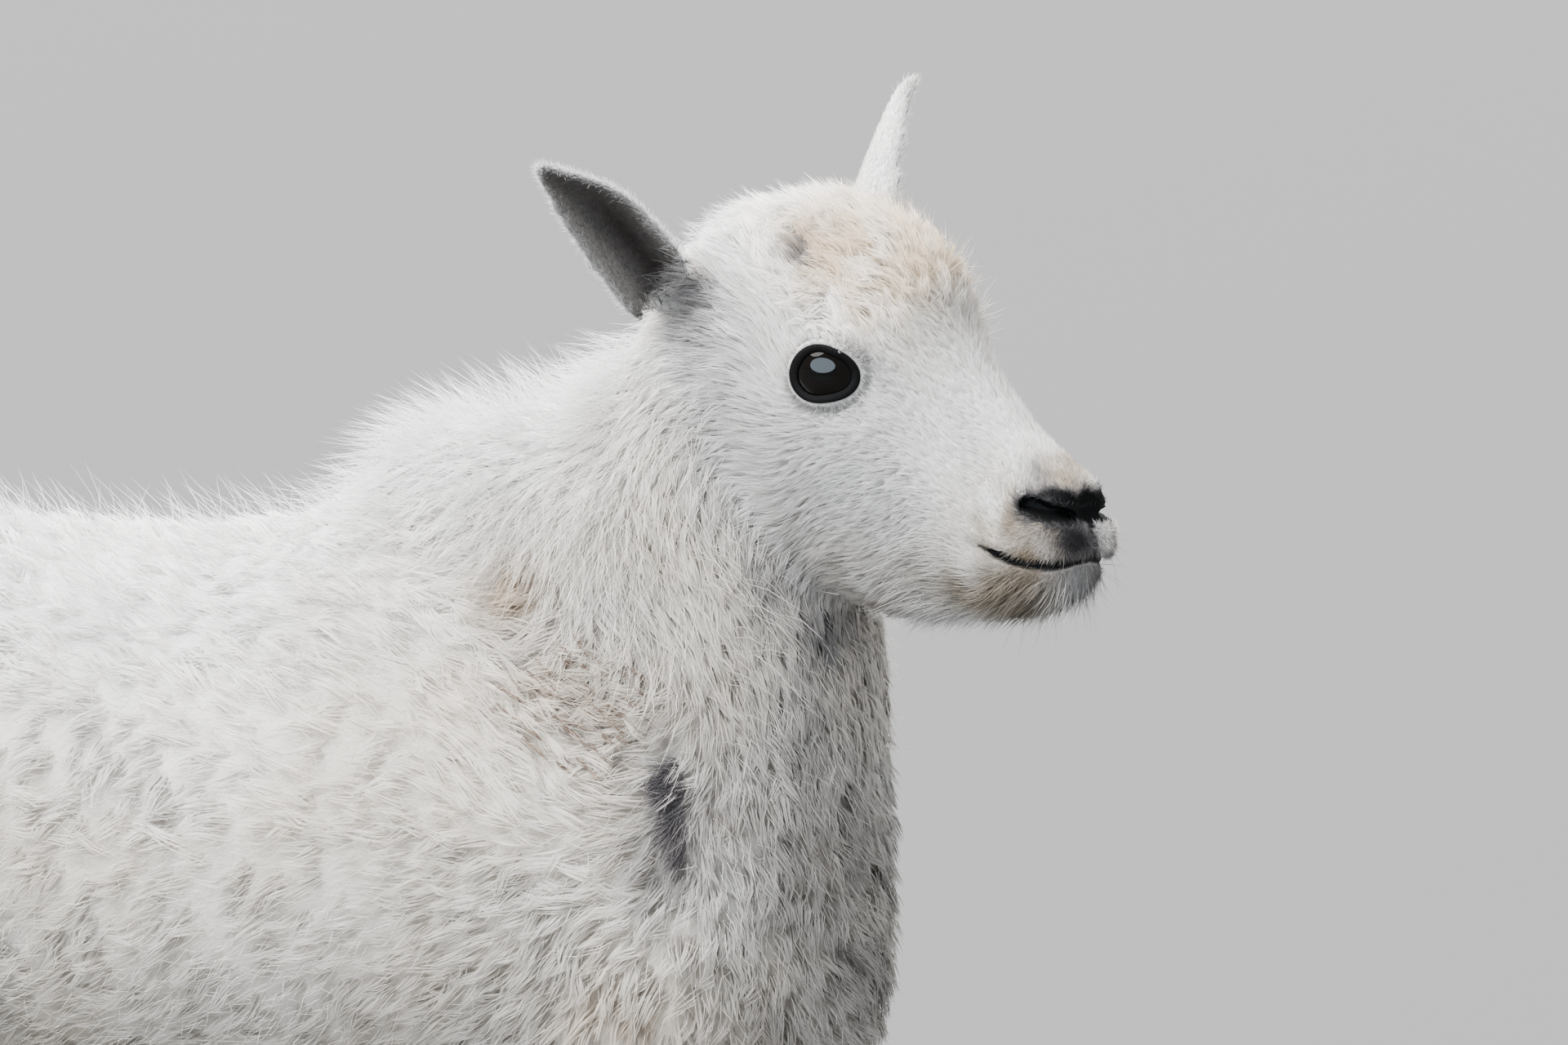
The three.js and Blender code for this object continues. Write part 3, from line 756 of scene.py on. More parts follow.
def hairLie(points, normals, regions):
    # which way the hair lies on each part
    head, body = toHead(points), toBody(points)
    folded = mirrored(head)
    x, z = folded[:, 0:1], folded[:, 2:3]
    towards = lambda a, b, amount: a + (np.asarray(b, float) - a) * amount
    face = np.array((-1.0, 0, 0)) + 0 * folded
    face = towards(face, (-0.75, 0, -0.75), ease(z, -8, -34) * ease(x, 75, 45))
    face = towards(face, (-0.35, 0.25, -1.0), ease(x, 78, 92) * ease(z, -2, -12))
    face = face + np.array((0, 0.3, 0)) * ease(x, 60, 20) * ease(z, 0, 20)
    ahead, high = eyeFrame()[1:]
    along, over, _, rim = eyePlane(folded)[2:]
    fromEye = unit(along[:, None] * ahead + over[:, None] * high)  # away from the eye all round it
    face = sideways(mix(unit(face), fromEye, ease(rim, 6, 1)), head) @ turn.T
    bx, by, up = body[:, 0:1], body[:, 1:2], normals[:, 2:3]
    hand = np.where(by < 0, -1.0, 1.0)
    row = lambda a, b, c: np.concatenate([a + 0 * bx, b + 0 * bx, c + 0 * bx], 1)
    top = ease(up, 0.35, 0.8)
    neck, leg = row(0.22, 0, -1), row(-0.16, 0, -1)
    # on the trunk it runs out from the shoulder, then back over the top and down the flank
    trunk = unit((body - row(168, 66 * hand, 322)) * np.array((1, 0.15, 1)) + np.array((-12, 0, -8)))
    for way, amount in (
        (row(-1, 0.22 * hand, -0.1), top),
        (row(-0.8, 0, -0.55), ease(bx, 20, -120) * (1 - top) * 0.7),
        (neck, ease(bx, 140, 176)),
        (row(-1, 0, -0.1), ease(up, -0.3, -0.8)),
    ):
        trunk = towards(trunk, way, amount)
    neck = towards(neck, row(-0.75, 0.3 * hand, -0.35), top)
    ways = [face, neck, trunk, row(-0.5, 0, -1), earPlace(head)[1] @ turn.T, leg, leg]
    lie = sum(unit(way) * share(regions, name)[:, None] for name, way in zip(regionNames, ways))
    return alongTangent(lie, normals)


def hairLength(points, regions):  # mm
    head, folded = toHead(points), mirrored(toHead(points))
    x, z = head[:, 0], head[:, 2]
    face = np.interp(x, *lengths["head"])
    face += 6 * ease(z, -35, -62) * ease(x, 60, 10)  # longer under the jaw
    face += 6 * ease(z, 16, 36) * ease(x, 20, -20)  # and on the crown
    face = face * (0.5 + 0.5 * ease(apart(folded, facePlaces["lid"]), 12, 28))
    face = face * (0.55 + 0.45 * ease(segmentDistance(folded, mouth["line"], mouth["half"]), 0.5, 6))
    face = face * (1 - 0.75 * bell(apart(folded, facePlaces["bud"]), 0, 11))
    leg = np.interp(toBody(points)[:, 2], *lengths["leg"])
    return byRegion(regions, {**lengths, "head": face, "foreleg": leg, "hindleg": leg})


def partings(points):
    bare, brown = 0, 0
    for middle, size, bareness, brownness in worn:
        near = np.exp(-(((toBody(points) - np.array(middle)) / np.array(size)) ** 2).sum(1))
        bare, brown = np.maximum(bare, near * bareness), np.maximum(brown, near * brownness)
    return bare, brown


def studySkin(skin):
    mesh = skin.data
    points, edges, normals = pointsOf(mesh), edgesOf(mesh), normalsOf(mesh)
    regions = regionShares(points, edges, 12)
    mesh.calc_loop_triangles()
    triangles, loops = (readAll(mesh.loop_triangles, name, 3, np.int32) for name in ("vertices", "loops"))
    uv = readAll(mesh.uv_layers["OFBake"].uv, "vector", 2)
    a, b, c = (points[triangles[:, i]] for i in range(3))
    lie = relax(hairLie(points, normals, regions), edges, 0.8, 8)
    bare, brown = partings(points)
    return {
        "points": points, "normals": normals, "regions": regions, "lie": alongTangent(lie, normals),
        "triangles": triangles, "uv": uv[loops], "area": np.linalg.norm(np.cross(b - a, c - a), axis=1) / 2,
        "bare": naked, "parting": brown, "worn": bare, "colour": coatColours(points, normals, regions),
        "length": hairLength(points, regions) * mm,
        "depth": relax(coatDepth(points, regions)[:, None], edges, 0.8, 6)[:, 0] * mm,
        "head": toHead(points), "body": toBody(points),
    }


know = studySkin(skin)
overSkin = BVHTree.FromPolygons(know["points"].tolist(), know["triangles"].tolist())
paint(skin.data, "hairColour", know["colour"])
paint(skin.data, "bare", know["bare"][:, None] * np.ones(3))
print("coat mapped")

# The coat: thin closed cones in locks, combed over the skin

hairKinds = {
    # segments of a hair, hairs to a lock, half a lock's width in mm, hair width in mm, length, how close it lies,
    # height of the lock in coat depths, droop of its tip, tips standing out, spread left at the tips, curl in mm,
    # swirl and its size in mm, stray turn, tone from hair to hair, shade at the root, roundness in the light
    "short": dict(levels=1, perLock=4, lockHalf=1.0, width=0.3, length=1.0, height=(0.35, 1.1), droop=0.1, stand=0.2,
                  tip=0.6, curl=0.3, swirl=0.8, swirlSize=12, stray=0.16, tone=0.13, rootShade=0.38, bulge=0.5),
    "crown": dict(perLock=9, lockHalf=2.2, width=0.34, length=0.9, hug=0.8, height=(0.6, 1.25),
                  tip=0.45, curl=1.6, swirl=1.6, swirlSize=9, stray=0.4, tone=0.04, rootShade=0.7),
    "poll": dict(perLock=6, lockHalf=1.8, width=0.34, length=0.85, height=(0.5, 1.15), stand=0.1,
                 tip=0.5, curl=0.6, swirl=0.6, swirlSize=14, stray=0.14, tone=0.05, rootShade=0.8),
    "neck": dict(perLock=14, lockHalf=2.9, width=0.38, length=0.75, height=(0.65, 1.2), stand=0.05,
                 tip=0.4, curl=0.8, swirl=0.8, swirlSize=22, stray=0.14, tone=0.035, rootShade=0.85),
    "wool": dict(perLock=13, lockHalf=3.3, width=0.4, length=0.6, hug=0.85, height=(0.5, 1.4), droop=0.25, stand=0.15,
                 tip=0.5, curl=2.2, swirl=1.0, swirlSize=14, stray=0.32, tone=0.03, rootShade=0.74),
    "leg": dict(perLock=6, lockHalf=1.6, width=0.42, length=0.95, height=(0.5, 1.3),
                tip=0.8, curl=0.6, swirl=0.6, swirlSize=16, stray=0.2, tone=0.06, rootShade=0.84, bulge=0.45),
    "ear": dict(levels=1, perLock=3, lockHalf=1.3, width=0.28, length=0.8, height=(0.5, 1.3),
                tip=0.8, curl=0.3, swirl=0.5, swirlSize=14, stray=0.25, tone=0.22, rootShade=0.5, bulge=0.4),
}
anyHair = dict(levels=2, hug=0.9, droop=0.3, stand=0.3, bulge=0.3)  # unless its kind says otherwise
leftWool = dict(width=0.85, perLock=9, tip=0.6)  # fewer, wider hairs where the photo doesn't look
coatPieces = [  # piece, kind of hair, triangles, seed, regions, where on them, changes
    ("coatFaceRight", "short", 165000, 1, ["head"], dict(right=True, part="face"), {}),
    ("coatFaceLeft", "short", 80000, 2, ["head"], dict(right=False, part="face"), {}),
    ("coatCrown", "crown", 100000, 3, ["head"], dict(part="crown"), {}),
    ("coatPoll", "poll", 60000, 14, ["head"], dict(part="poll"), {}),
    ("coatEars", "ear", 70000, 4, ["ear"], {}, {}),
    ("coatNeckRight", "neck", 150000, 5, ["neck"], dict(right=True), {}),
    ("coatNeckLeft", "neck", 60000, 6, ["neck"], dict(right=False), dict(width=0.6)),
    ("coatShoulderRight", "wool", 160000, 7, ["trunk"], dict(right=True, x=(60, 400)), {}),
    ("coatShoulderLeft", "wool", 75000, 8, ["trunk"], dict(right=False, x=(60, 400)), leftWool),
    ("coatFlankRight", "wool", 110000, 9, ["trunk"], dict(right=True, x=(-110, 60)), {}),
    ("coatFlankLeft", "wool", 75000, 10, ["trunk"], dict(right=False, x=(-110, 60)), leftWool),
    ("coatRump", "wool", 75000, 11, ["trunk", "tail"], dict(x=(-400, -110)), {**leftWool, "width": 0.7}),
    ("coatForelegs", "leg", 70000, 12, ["foreleg"], {}, dict(width=0.6, perLock=3)),
    ("coatHindlegs", "leg", 70000, 13, ["hindleg"], {}, dict(width=0.65, perLock=3)),
]
coatCare = {
    "triangles": 0.9,  # of those asked for
    "seenMore": 1.7, "toCamera": (0.256, -0.956, 0.139),  # the side that the photo shows gets more hair
    "seam": 8,  # mm that neighbouring pieces fade over
    "roughShare": 0.34, "roughWidth": 1.6,
}


def on(*names):
    return share(know["regions"], *names)


def seen(low, high=0.2):
    return ease(know["normals"] @ np.array(coatCare["toCamera"]), low, high)


def where(*names, right=None, x=None, part=None):
    # how thickly hair grows at each point of the skin, for one piece of the coat
    head, body = know["head"], know["body"]
    grows = on(*names)
    if right is not None:
        side = head[:, 1] if names[0] in ("head", "ear") else body[:, 1]
        grows = grows * ((side < 0) == right)
    if x is not None:
        low, high = x
        seam = coatCare["seam"]
        grows = grows * ease(body[:, 0], low - seam, low + seam) * ease(body[:, 0], high + seam, high - seam)
    if part:
        crown = ease(head[:, 0], 16, -22) * ease(head[:, 2], 4, 22)
        poll = (1 - crown) * ease(head[:, 0], -32, -56)
        grows = grows * {"crown": crown, "poll": poll, "face": 1 - crown - poll}[part]
    thin = 1 / np.maximum(know["length"] / mm, 4) ** 0.6  # short hair needs more roots
    folded = mirrored(head)
    covered = ease(know["bare"], 0.45, 0.1) * ease(apart(folded, facePlaces["bud"]), 2.5, 5)
    covered = covered * ease(eyePlane(folded)[5], 0.25, 0.8) * ease(body[:, 2], 24, 29)
    return grows * (1 + coatCare["seenMore"] * seen(-0.3)) * thin * covered * (1 - know["worn"])


def rootsFor(count, grows, draw):
    weight = know["area"] * grows[know["triangles"]].mean(1)
    total = np.cumsum(weight)
    picks = (np.arange(count) + draw.random(count)) / count * total[-1]
    at = np.minimum(np.searchsorted(total, picks), len(total) - 1)
    r, s = np.sqrt(draw.random(count)), draw.random(count)
    parts = np.stack([1 - r, r * (1 - s), r * s], 1)
    corners = know["triangles"][at]
    names = ("points", "normals", "lie", "colour", "length", "depth", "parting", "worn")
    roots = {name: np.einsum("ij...,ij->i...", know[name][corners], parts) for name in names}
    roots["normals"] = unit(roots["normals"])
    roots["uv"] = np.einsum("ijk,ij->ik", know["uv"][at], parts)
    return roots


def comb(starts, normals, lie, reach, steps):
    # the line over the skin that a lock follows
    line, ups, ways = [starts], [normals], [lie]
    for _ in range(steps):
        ahead = line[-1] + ways[-1] * (reach / steps)[:, None]
        found = [overSkin.find_nearest(point)[:2] for point in ahead.tolist()]
        up = unit(0.5 * ups[-1] + 0.5 * np.array([f[1] for f in found]))
        line.append(np.array([f[0] for f in found]))
        ups.append(up)
        ways.append(alongTangent(ways[-1], up))
    return line, ups, ways


def hairForm(levels):
    # one hair: a closed cone with three sides, one unit high, divided along its length
    shape = bmesh.new()
    bmesh.ops.create_cone(shape, cap_ends=True, cap_tris=False, segments=3, radius1=1, radius2=0, depth=1)
    bmesh.ops.translate(shape, verts=shape.verts, vec=(0, 0, 0.5))
    bmesh.ops.remove_doubles(shape, verts=shape.verts, dist=1e-4)
    for k in range(1, levels):
        cut = shape.verts[:] + shape.edges[:] + shape.faces[:]
        bmesh.ops.bisect_plane(shape, geom=cut, plane_co=(0, 0, k / levels), plane_no=(0, 0, 1))
    bmesh.ops.recalc_face_normals(shape, faces=shape.faces)
    shape.verts.index_update()
    corners = []  # which way each corner lies from the hair's middle, and how far along it
    for cx, cy, s in np.array([v.co for v in shape.verts]):
        size = max(math.hypot(cx, cy), 1e-6)
        corners.append((cx / size, cy / size, s) if s < 0.999 else (0, 0, s))
    faces = [[v.index for v in face.verts] for face in shape.faces]
    shape.free()
    return corners, faces


def joinHairs(name, form, spots, colour, normal, uv, finish):
    corners, faces = form
    hairs, each = spots.shape[:2]
    mesh = bpy.data.meshes.new(name)
    mesh.vertices.add(hairs * each)
    mesh.vertices.foreach_set("co", spots.astype(np.float32).ravel())
    flat = np.concatenate([np.array(face) for face in faces])
    loops = (flat[None] + (np.arange(hairs) * each)[:, None]).ravel()
    mesh.loops.add(len(loops))
    mesh.loops.foreach_set("vertex_index", loops.astype(np.int32))
    starts = np.concatenate([[0], np.cumsum(np.tile([len(face) for face in faces], hairs))[:-1]])
    mesh.polygons.add(len(starts))
    mesh.polygons.foreach_set("loop_start", starts.astype(np.int32))
    mesh.update(calc_edges=True)
    beside = np.array([(0.0015 * cy, 0.003 * (s - 0.5)) for _, cy, s in corners])  # a hair is a speck on the map
    layer = mesh.uv_layers.new(name="OFBake")
    layer.uv.foreach_set("vector", (uv[:, None] + beside).reshape(-1, 2)[loops].astype(np.float32).ravel())
    paint(mesh, "hairColour", colour.reshape(-1, 3))
    finishPiece(newObject(name, mesh), finish.material)
    mesh.normals_split_custom_set_from_vertices(normal.reshape(-1, 3).tolist())


def growHair(name, kind, triangles, seed, grows, changes):
    spec = {**anyHair, **hairKinds[kind], **changes}
    draw = np.random.default_rng(seed)
    levels, per = spec["levels"], spec["perLock"]
    form = corners, faces = hairForm(levels)
    each = sum(len(face) - 2 for face in faces)
    locks = int(triangles * coatCare["triangles"] * 1 / (each * per))
    roots = rootsFor(locks, grows, draw)
    swirl = 0.35 * spec["swirl"] * ripple(roots["points"], spec["swirlSize"] * mm, seed)
    swirl = swirl + draw.normal(0, spec["stray"], locks)
    across = np.cross(roots["normals"], roots["lie"])
    lie = alongTangent(roots["lie"] * np.cos(swirl)[:, None] + across * np.sin(swirl)[:, None], roots["normals"])
    length = roots["length"] * spec["length"] * draw.uniform(0.72, 1.2, locks) * (1 - 0.6 * roots["worn"])
    line, ups, ways = comb(roots["points"], roots["normals"], lie, length * spec["hug"], levels)
    height = roots["depth"] * draw.uniform(*spec["height"], locks)
    curl = spec["curl"] * mm * draw.normal(0, 1, locks) * np.minimum(length / (25 * mm), 1)
    phase = draw.uniform(0, 2 * np.pi, locks)
    # the hairs of a lock start beside each other and come together at its tip
    owner = np.repeat(np.arange(locks), per)
    hairs = len(owner)
    spread = np.sqrt(draw.random(hairs)) * spec["lockHalf"] * mm
    angle = draw.uniform(0, 2 * np.pi, hairs)
    own = draw.uniform(0.78, 1.05, hairs)
    girth = spec["width"] * 1 * mm * draw.uniform(0.7, 1.3, hairs)
    lift = 1 + draw.normal(0, 0.12, hairs)
    shade = (1 + draw.normal(0, spec["tone"], locks))[owner] * (1 + draw.normal(0, spec["tone"], hairs))
    base = roots["colour"][owner]
    brown = np.array(coatLook["brown"]) + 0 * base
    parting = roots["parting"][owner]
    tall, deep, long = height[owner], roots["depth"][owner], length[owner]
    spots, colour, normal = (np.empty((hairs, len(corners), 3)) for _ in range(3))
    for i, (cx, cy, s) in enumerate(corners):
        low = min(int(round(s * levels)), levels)
        up, way = ups[low][owner], ways[low][owner]
        beside = np.cross(way, up)
        closing = 1 - (1 - spec["tip"]) * s ** 1.2
        out = tall * lift * s ** 0.6 * (1 - spec["droop"] * s * s) + deep * spec["stand"] * s * s - 0.3 * mm * (s < 0.01)
        bend = curl[owner] * np.sin(phase[owner] + s * 4.2) * s ** 0.6
        thick = girth * np.interp(s, [0, 0.3, 0.7, 1], [0.8, 1, 0.7, 0])
        spots[:, i] = (
            line[low][owner] + up * (out + cx * thick * 0.4)[:, None]
            + way * (spread * np.sin(angle) * closing - (1 - own) * long * s)[:, None]
            + beside * (spread * np.cos(angle) * closing + bend + cy * thick * 0.9)[:, None]
        )
        normal[:, i] = unit(up + way * 0.15 + (beside * cy + up * cx) * spec["bulge"])
        # painted shade: each hair is darker towards its root
        lit = ease(s, 0.0, 0.75)
        shadow = (spec["rootShade"] + (1 - spec["rootShade"]) * lit) * shade
        warmRootShade = 1 - np.array((0, 0.05, 0.10)) * (1 - lit)  # painted shade deep in the coat, a little yellower towards the roots
        colour[:, i] = mix(base, brown, parting * (1 - ease(s, 0.1, 0.75))) * shadow[:, None] * warmRootShade
    joinHairs(name, form, spots, np.clip(colour, 0.005, 0.92), normal, roots["uv"][owner], coatFinish)
    print(name, hairs, "hairs,", hairs * each, "triangles")


coatFinish = Finish("kid coat", Roughness=0.72, Specular_IOR_Level=0.2)
coatFinish.use("Base Color", coatFinish.attribute("hairColour"))

for name, kind, triangles, seed, names, place, changes in coatPieces:
    growHair(name, kind, triangles, seed, where(*names, **place), changes)

# Single hairs that stand out: lashes, whiskers, wisps along the back, fringes of the ears

def strands(name, roots, ways, bends, reach, widths, colour, uv, levels, finish, rootShade=0.8):
    form = hairForm(levels)
    count = len(roots)
    spots, colours, normal = (np.empty((count, len(form[0]), 3)) for _ in range(3))
    for i, (cx, cy, s) in enumerate(form[0]):
        way = unit(ways + 2 * bends * s)
        first = alongTangent(np.array((0.31, 0.22, 0.93)) + 0 * way, way)  # any way across the hair
        outward = first * cx + np.cross(way, first) * cy
        thick = widths / 2 * np.interp(s, [0, 0.5, 1], [1, 0.8, 0])
        spots[:, i] = roots + (ways * s + bends * s * s) * reach[:, None] + outward * thick[:, None]
        normal[:, i] = unit(outward + np.array((0, 0, 0.4)) + 0.001)
        colours[:, i] = colour * (rootShade + (1 - rootShade) * s)
    joinHairs(name, form, spots, np.clip(colours, 0.003, 0.95), normal, uv, finish)
    print(name, count, "hairs")


def standing(name, count, grows, reach, lean, width, seed, levels=2, start=0.3, stray=0.25, bright=1.0,
             colour=None, fall=0.25, tone=0.1):
    # hairs scattered over the skin that lean out of the coat
    draw = np.random.default_rng(seed)
    count = int(count * (1))
    roots = rootsFor(count, grows, draw)
    ways = unit(roots["normals"] * lean + roots["lie"] * (1 - lean) + draw.normal(0, stray, (count, 3)))
    bends = roots["lie"] * fall + np.array((0, 0, -0.12))
    reach = draw.uniform(*reach, count) * mm
    widths = draw.uniform(0.7, 1.3, count) * width * 1 * mm
    at = roots["points"] + roots["normals"] * (roots["depth"] * start)[:, None]
    shown = roots["colour"] * bright if colour is None else np.array(colour) + 0 * roots["colour"]
    shown = shown * draw.uniform(1 - tone, 1 + tone / 2, (count, 1))
    strands(name, at, ways, bends, reach, widths, shown, roots["uv"], levels, coatFinish)


slitLook = {
    "count": 1200, "perSlit": 12, "seed": 28, "rows": 5, "columns": 10, "run": (0.8, 0, -0.6), "halfLength": 5,  # mm
    # deep is painted shade in the middle of each slit; edge is the brown of the roots towards its ends
    "deep": (0.15, 0.1, 0.075), "edge": (0.42, 0.32, 0.25), "length": (2.5, 5), "width": (0.45, 0.9),
}


def slitsOfShoulder(grows):
    # brown slits where the wool of the bent shoulder parts, in rows, each a few short hairs in a line: brown roots with
    # painted shade, darkest in the middle of each slit
    draw = np.random.default_rng(slitLook["seed"])
    roots = rootsFor(slitLook["count"], grows, draw)
    body = toBody(roots["points"])
    row = np.floor((body[:, 0] * 0.6 + body[:, 2] * 0.8) / slitLook["rows"])
    column = np.floor((body[:, 0] * 0.8 - body[:, 2] * 0.6) / slitLook["columns"] + 0.5 * (row % 2))
    kept = np.unique(row * 1000 + column, return_index=True)[1]
    at, up, depth, uv = (roots[name][kept] for name in ("points", "normals", "depth", "uv"))
    run = alongTangent(np.array(slitLook["run"]) + draw.normal(0, 0.12, (len(kept), 3)), up)
    run, up, at, depth, uv = (np.repeat(v, slitLook["perSlit"], 0) for v in (run, up, at, depth, uv))
    total = len(at)
    beside = np.cross(up, run)
    along = np.clip(draw.normal(0, 2.6, (total, 1)), -slitLook["halfLength"], slitLook["halfLength"])
    at = at + up * (depth * draw.uniform(0.7, 0.95, total))[:, None]
    at = at + (run * along + beside * draw.normal(0, 0.3, (total, 1))) * mm
    # painted shade: darker towards the middle of the slit
    towardsEdge = np.clip(np.abs(along[:, 0]) / 6 + draw.uniform(0, 0.4, total), 0, 1)
    shown = mix(np.array(slitLook["deep"]) + 0 * at, np.array(slitLook["edge"]) + 0 * at, towardsEdge)
    ways = run + beside * draw.normal(0, 0.05, (total, 1)) - up * 0.06
    bends = beside * draw.normal(0, 0.06, (total, 1))
    reach, widths = (draw.uniform(*slitLook[size], total) * mm for size in ("length", "width"))
    strands("shoulderSlits", at, ways, bends, reach, widths, shown, uv, 2, coatFinish)


x, z = know["head"][:, 0], know["head"][:, 2]
forward, up = know["body"][:, 0], know["normals"][:, 2]
fur, head = ease(know["bare"], 0.5, 0.2), on("head")

backTop = on("trunk") * ease(up, 0.25, 0.7) * (0.5 + ease(forward, 0, 60))
neckTop = on("neck") * ease(up, -0.1, 0.5) * 2.5 * ease(forward, 190, 150)
tufted = 0.35 + 1.3 * ease(ripple(know["points"], 0.007, 34), -0.1, 0.8)  # the wisps stand in groups
standing("wispsBack", 12500, (backTop + neckTop) * tufted, (11, 33), 0.7, 0.24, 21, bright=1.05, stray=0.24)

crownTop = head * (ease(x, 20, -30) * ease(z, 4, 20) + ease(x, -30, -50))
standing("wispsCrown", 4500, crownTop, (7, 17), 0.62, 0.2, 22, bright=1.04, stray=0.35)

everywhere = on("neck", "trunk", "tail") * fur * (0.35 + seen(-0.4))
standing("fuzz", 20000, everywhere, (5, 10), 0.28, 0.3, 23, levels=1, start=0.75, stray=0.3, bright=1.04, fall=0.1)

rimHere = earRims(know["head"], know["regions"]) * on("ear")
standing("earFringe", 4000, rimHere, (1.6, 4.2), 0.45, 0.2, 24, levels=1, start=0.2, colour=(0.66, 0.65, 0.64))

slits = know["parting"] * (on("trunk") > 0.4)
slitsOfShoulder(slits ** 1.5 * (slits > 0.38))

bareWool = know["worn"] ** 2 * (know["worn"] > 0.12)
standing("darkHairs", 520, bareWool, (5, 9), 0.15, 0.34, 29, start=0.75, stray=0.35, colour=(0.1, 0.09, 0.095))

muzzleHere = head * ease(x, 86, 94) * ease(know["bare"], 0.6, 0.2)
standing("muzzleHair", 9000, muzzleHere, (1.8, 3.4), 0.5, 0.2, 30, levels=1, start=0.1, stray=0.3, fall=0.1, tone=0.3)

earBase = head * bell(apart(mirrored(know["head"]), facePlaces["earBase"]), 0, 9)
standing("earTufts", 1300, earBase, (6, 12), 0.3, 0.2, 33, start=0.4)

noseEdge = head * ease(x, 72, 78) * ease(toPad, 2.2, 0.4) * ease(toPad, -1.6, -0.4)
standing("noseHair", 2600, noseEdge, (1.0, 2.2), 0.4, 0.15, 32, levels=1, start=0.0, stray=0.3,
         colour=(0.03, 0.028, 0.03), fall=0.1)

lipHeight = np.interp(x, [40, 76, 90, 100, 109], [-34, -32.5, -30, -26, -20])
jawLine = head * ease(z - lipHeight, 0, -4) * ease(x, 40, 70) * fur
standing("chinHair", 3000, jawLine, (5, 11), 0.3, 0.2, 25, stray=0.2, bright=1.02)

lipsHere = head * ease(x, 84, 96) * ease(z, -8, -13) * ease(know["bare"], 0.6, 0.3)
standing("whiskers", 90, lipsHere, (9, 20), 0.75, 0.11, 26, levels=3, start=0.4, stray=0.15, colour=(0.3, 0.27, 0.25))

# Eyes

eyeLook = {
    "around": 64, "down": 40, "bulge": 0.05, "bulgeAngle": 34, "pupil": (5.6, 3.1), "iris": 9.2,
    "brown": (0.004, 0.0024, 0.0015), "slot": (0.0015, 0.0015, 0.0015), "ring": (0.002, 0.002, 0.002),
    "back": (0.02, 0.016, 0.016),
}
lashLook = {
    "count": 26, "from": 48, "to": 150, "length": (4.5, 8), "width": 0.1, "colour": (0.022, 0.017, 0.015), "seed": 31,
    "folds": [(2.3, 62, 128), (3.6, 95, 170), (4.8, 60, 110)], "foldHairs": 10,  # mm outside the rim, degrees
}
lidLook = {
    "around": 112, "across": 14, "half": 0.2,  # of the ring before it is laid out
    "inner": -0.2, "outer": 0.1, "thick": 0.4, "raised": (0.1, 2.05),  # mm
}


def faceOutwards(shape):  # for points moved one by one: recalculating alone goes by the old normals
    shape.normal_update()
    bmesh.ops.recalc_face_normals(shape, faces=shape.faces)


def eyeBall(side):
    gaze, ahead, up = eyeFrame()
    shape = bmesh.new()
    bmesh.ops.create_uvsphere(shape, u_segments=eyeLook["around"], v_segments=eyeLook["down"], radius=1)
    unitBall = np.array([v.co for v in shape.verts])
    angle = np.degrees(np.arccos(np.clip(unitBall[:, 2], -1, 1)))
    size = eye["radius"] + eyeLook["bulge"] * ease(angle, eyeLook["bulgeAngle"], 0)
    local = unitBall * size[:, None]
    head = np.array(eye["middle"]) + local @ np.array((ahead, up, gaze))
    for vertex, place in zip(shape.verts, fromHead(head * np.array((1, side, 1)))):
        vertex.co = Vector(place)
    faceOutwards(shape)
    forward, high, front = local[:, 0], local[:, 1], unitBall[:, 2] > 0
    pupil = sum((np.abs(v) / half) ** 2.6 for v, half in zip((forward, high), eyeLook["pupil"])) ** 0.4
    turned = np.arctan2(high, forward)
    streaks = 0.75 + 0.25 * np.sin(turned * 37) * np.sin(turned * 23)
    iris = eyeLook["iris"]
    shown = mix(np.array(eyeLook["brown"]) * streaks[:, None], np.array(eyeLook["slot"]), ease(pupil, 1.12, 0.95))
    shown = mix(shown, np.array(eyeLook["ring"]), ease(np.hypot(forward, high), iris - 1.6, iris) * front)
    shown = mix(shown, np.array(eyeLook["back"]), ~front)
    ball = objectFrom(shape, "eyeball_left" if side > 0 else "eyeball_right")
    paint(ball.data, "eyeColour", shown)
    return ball


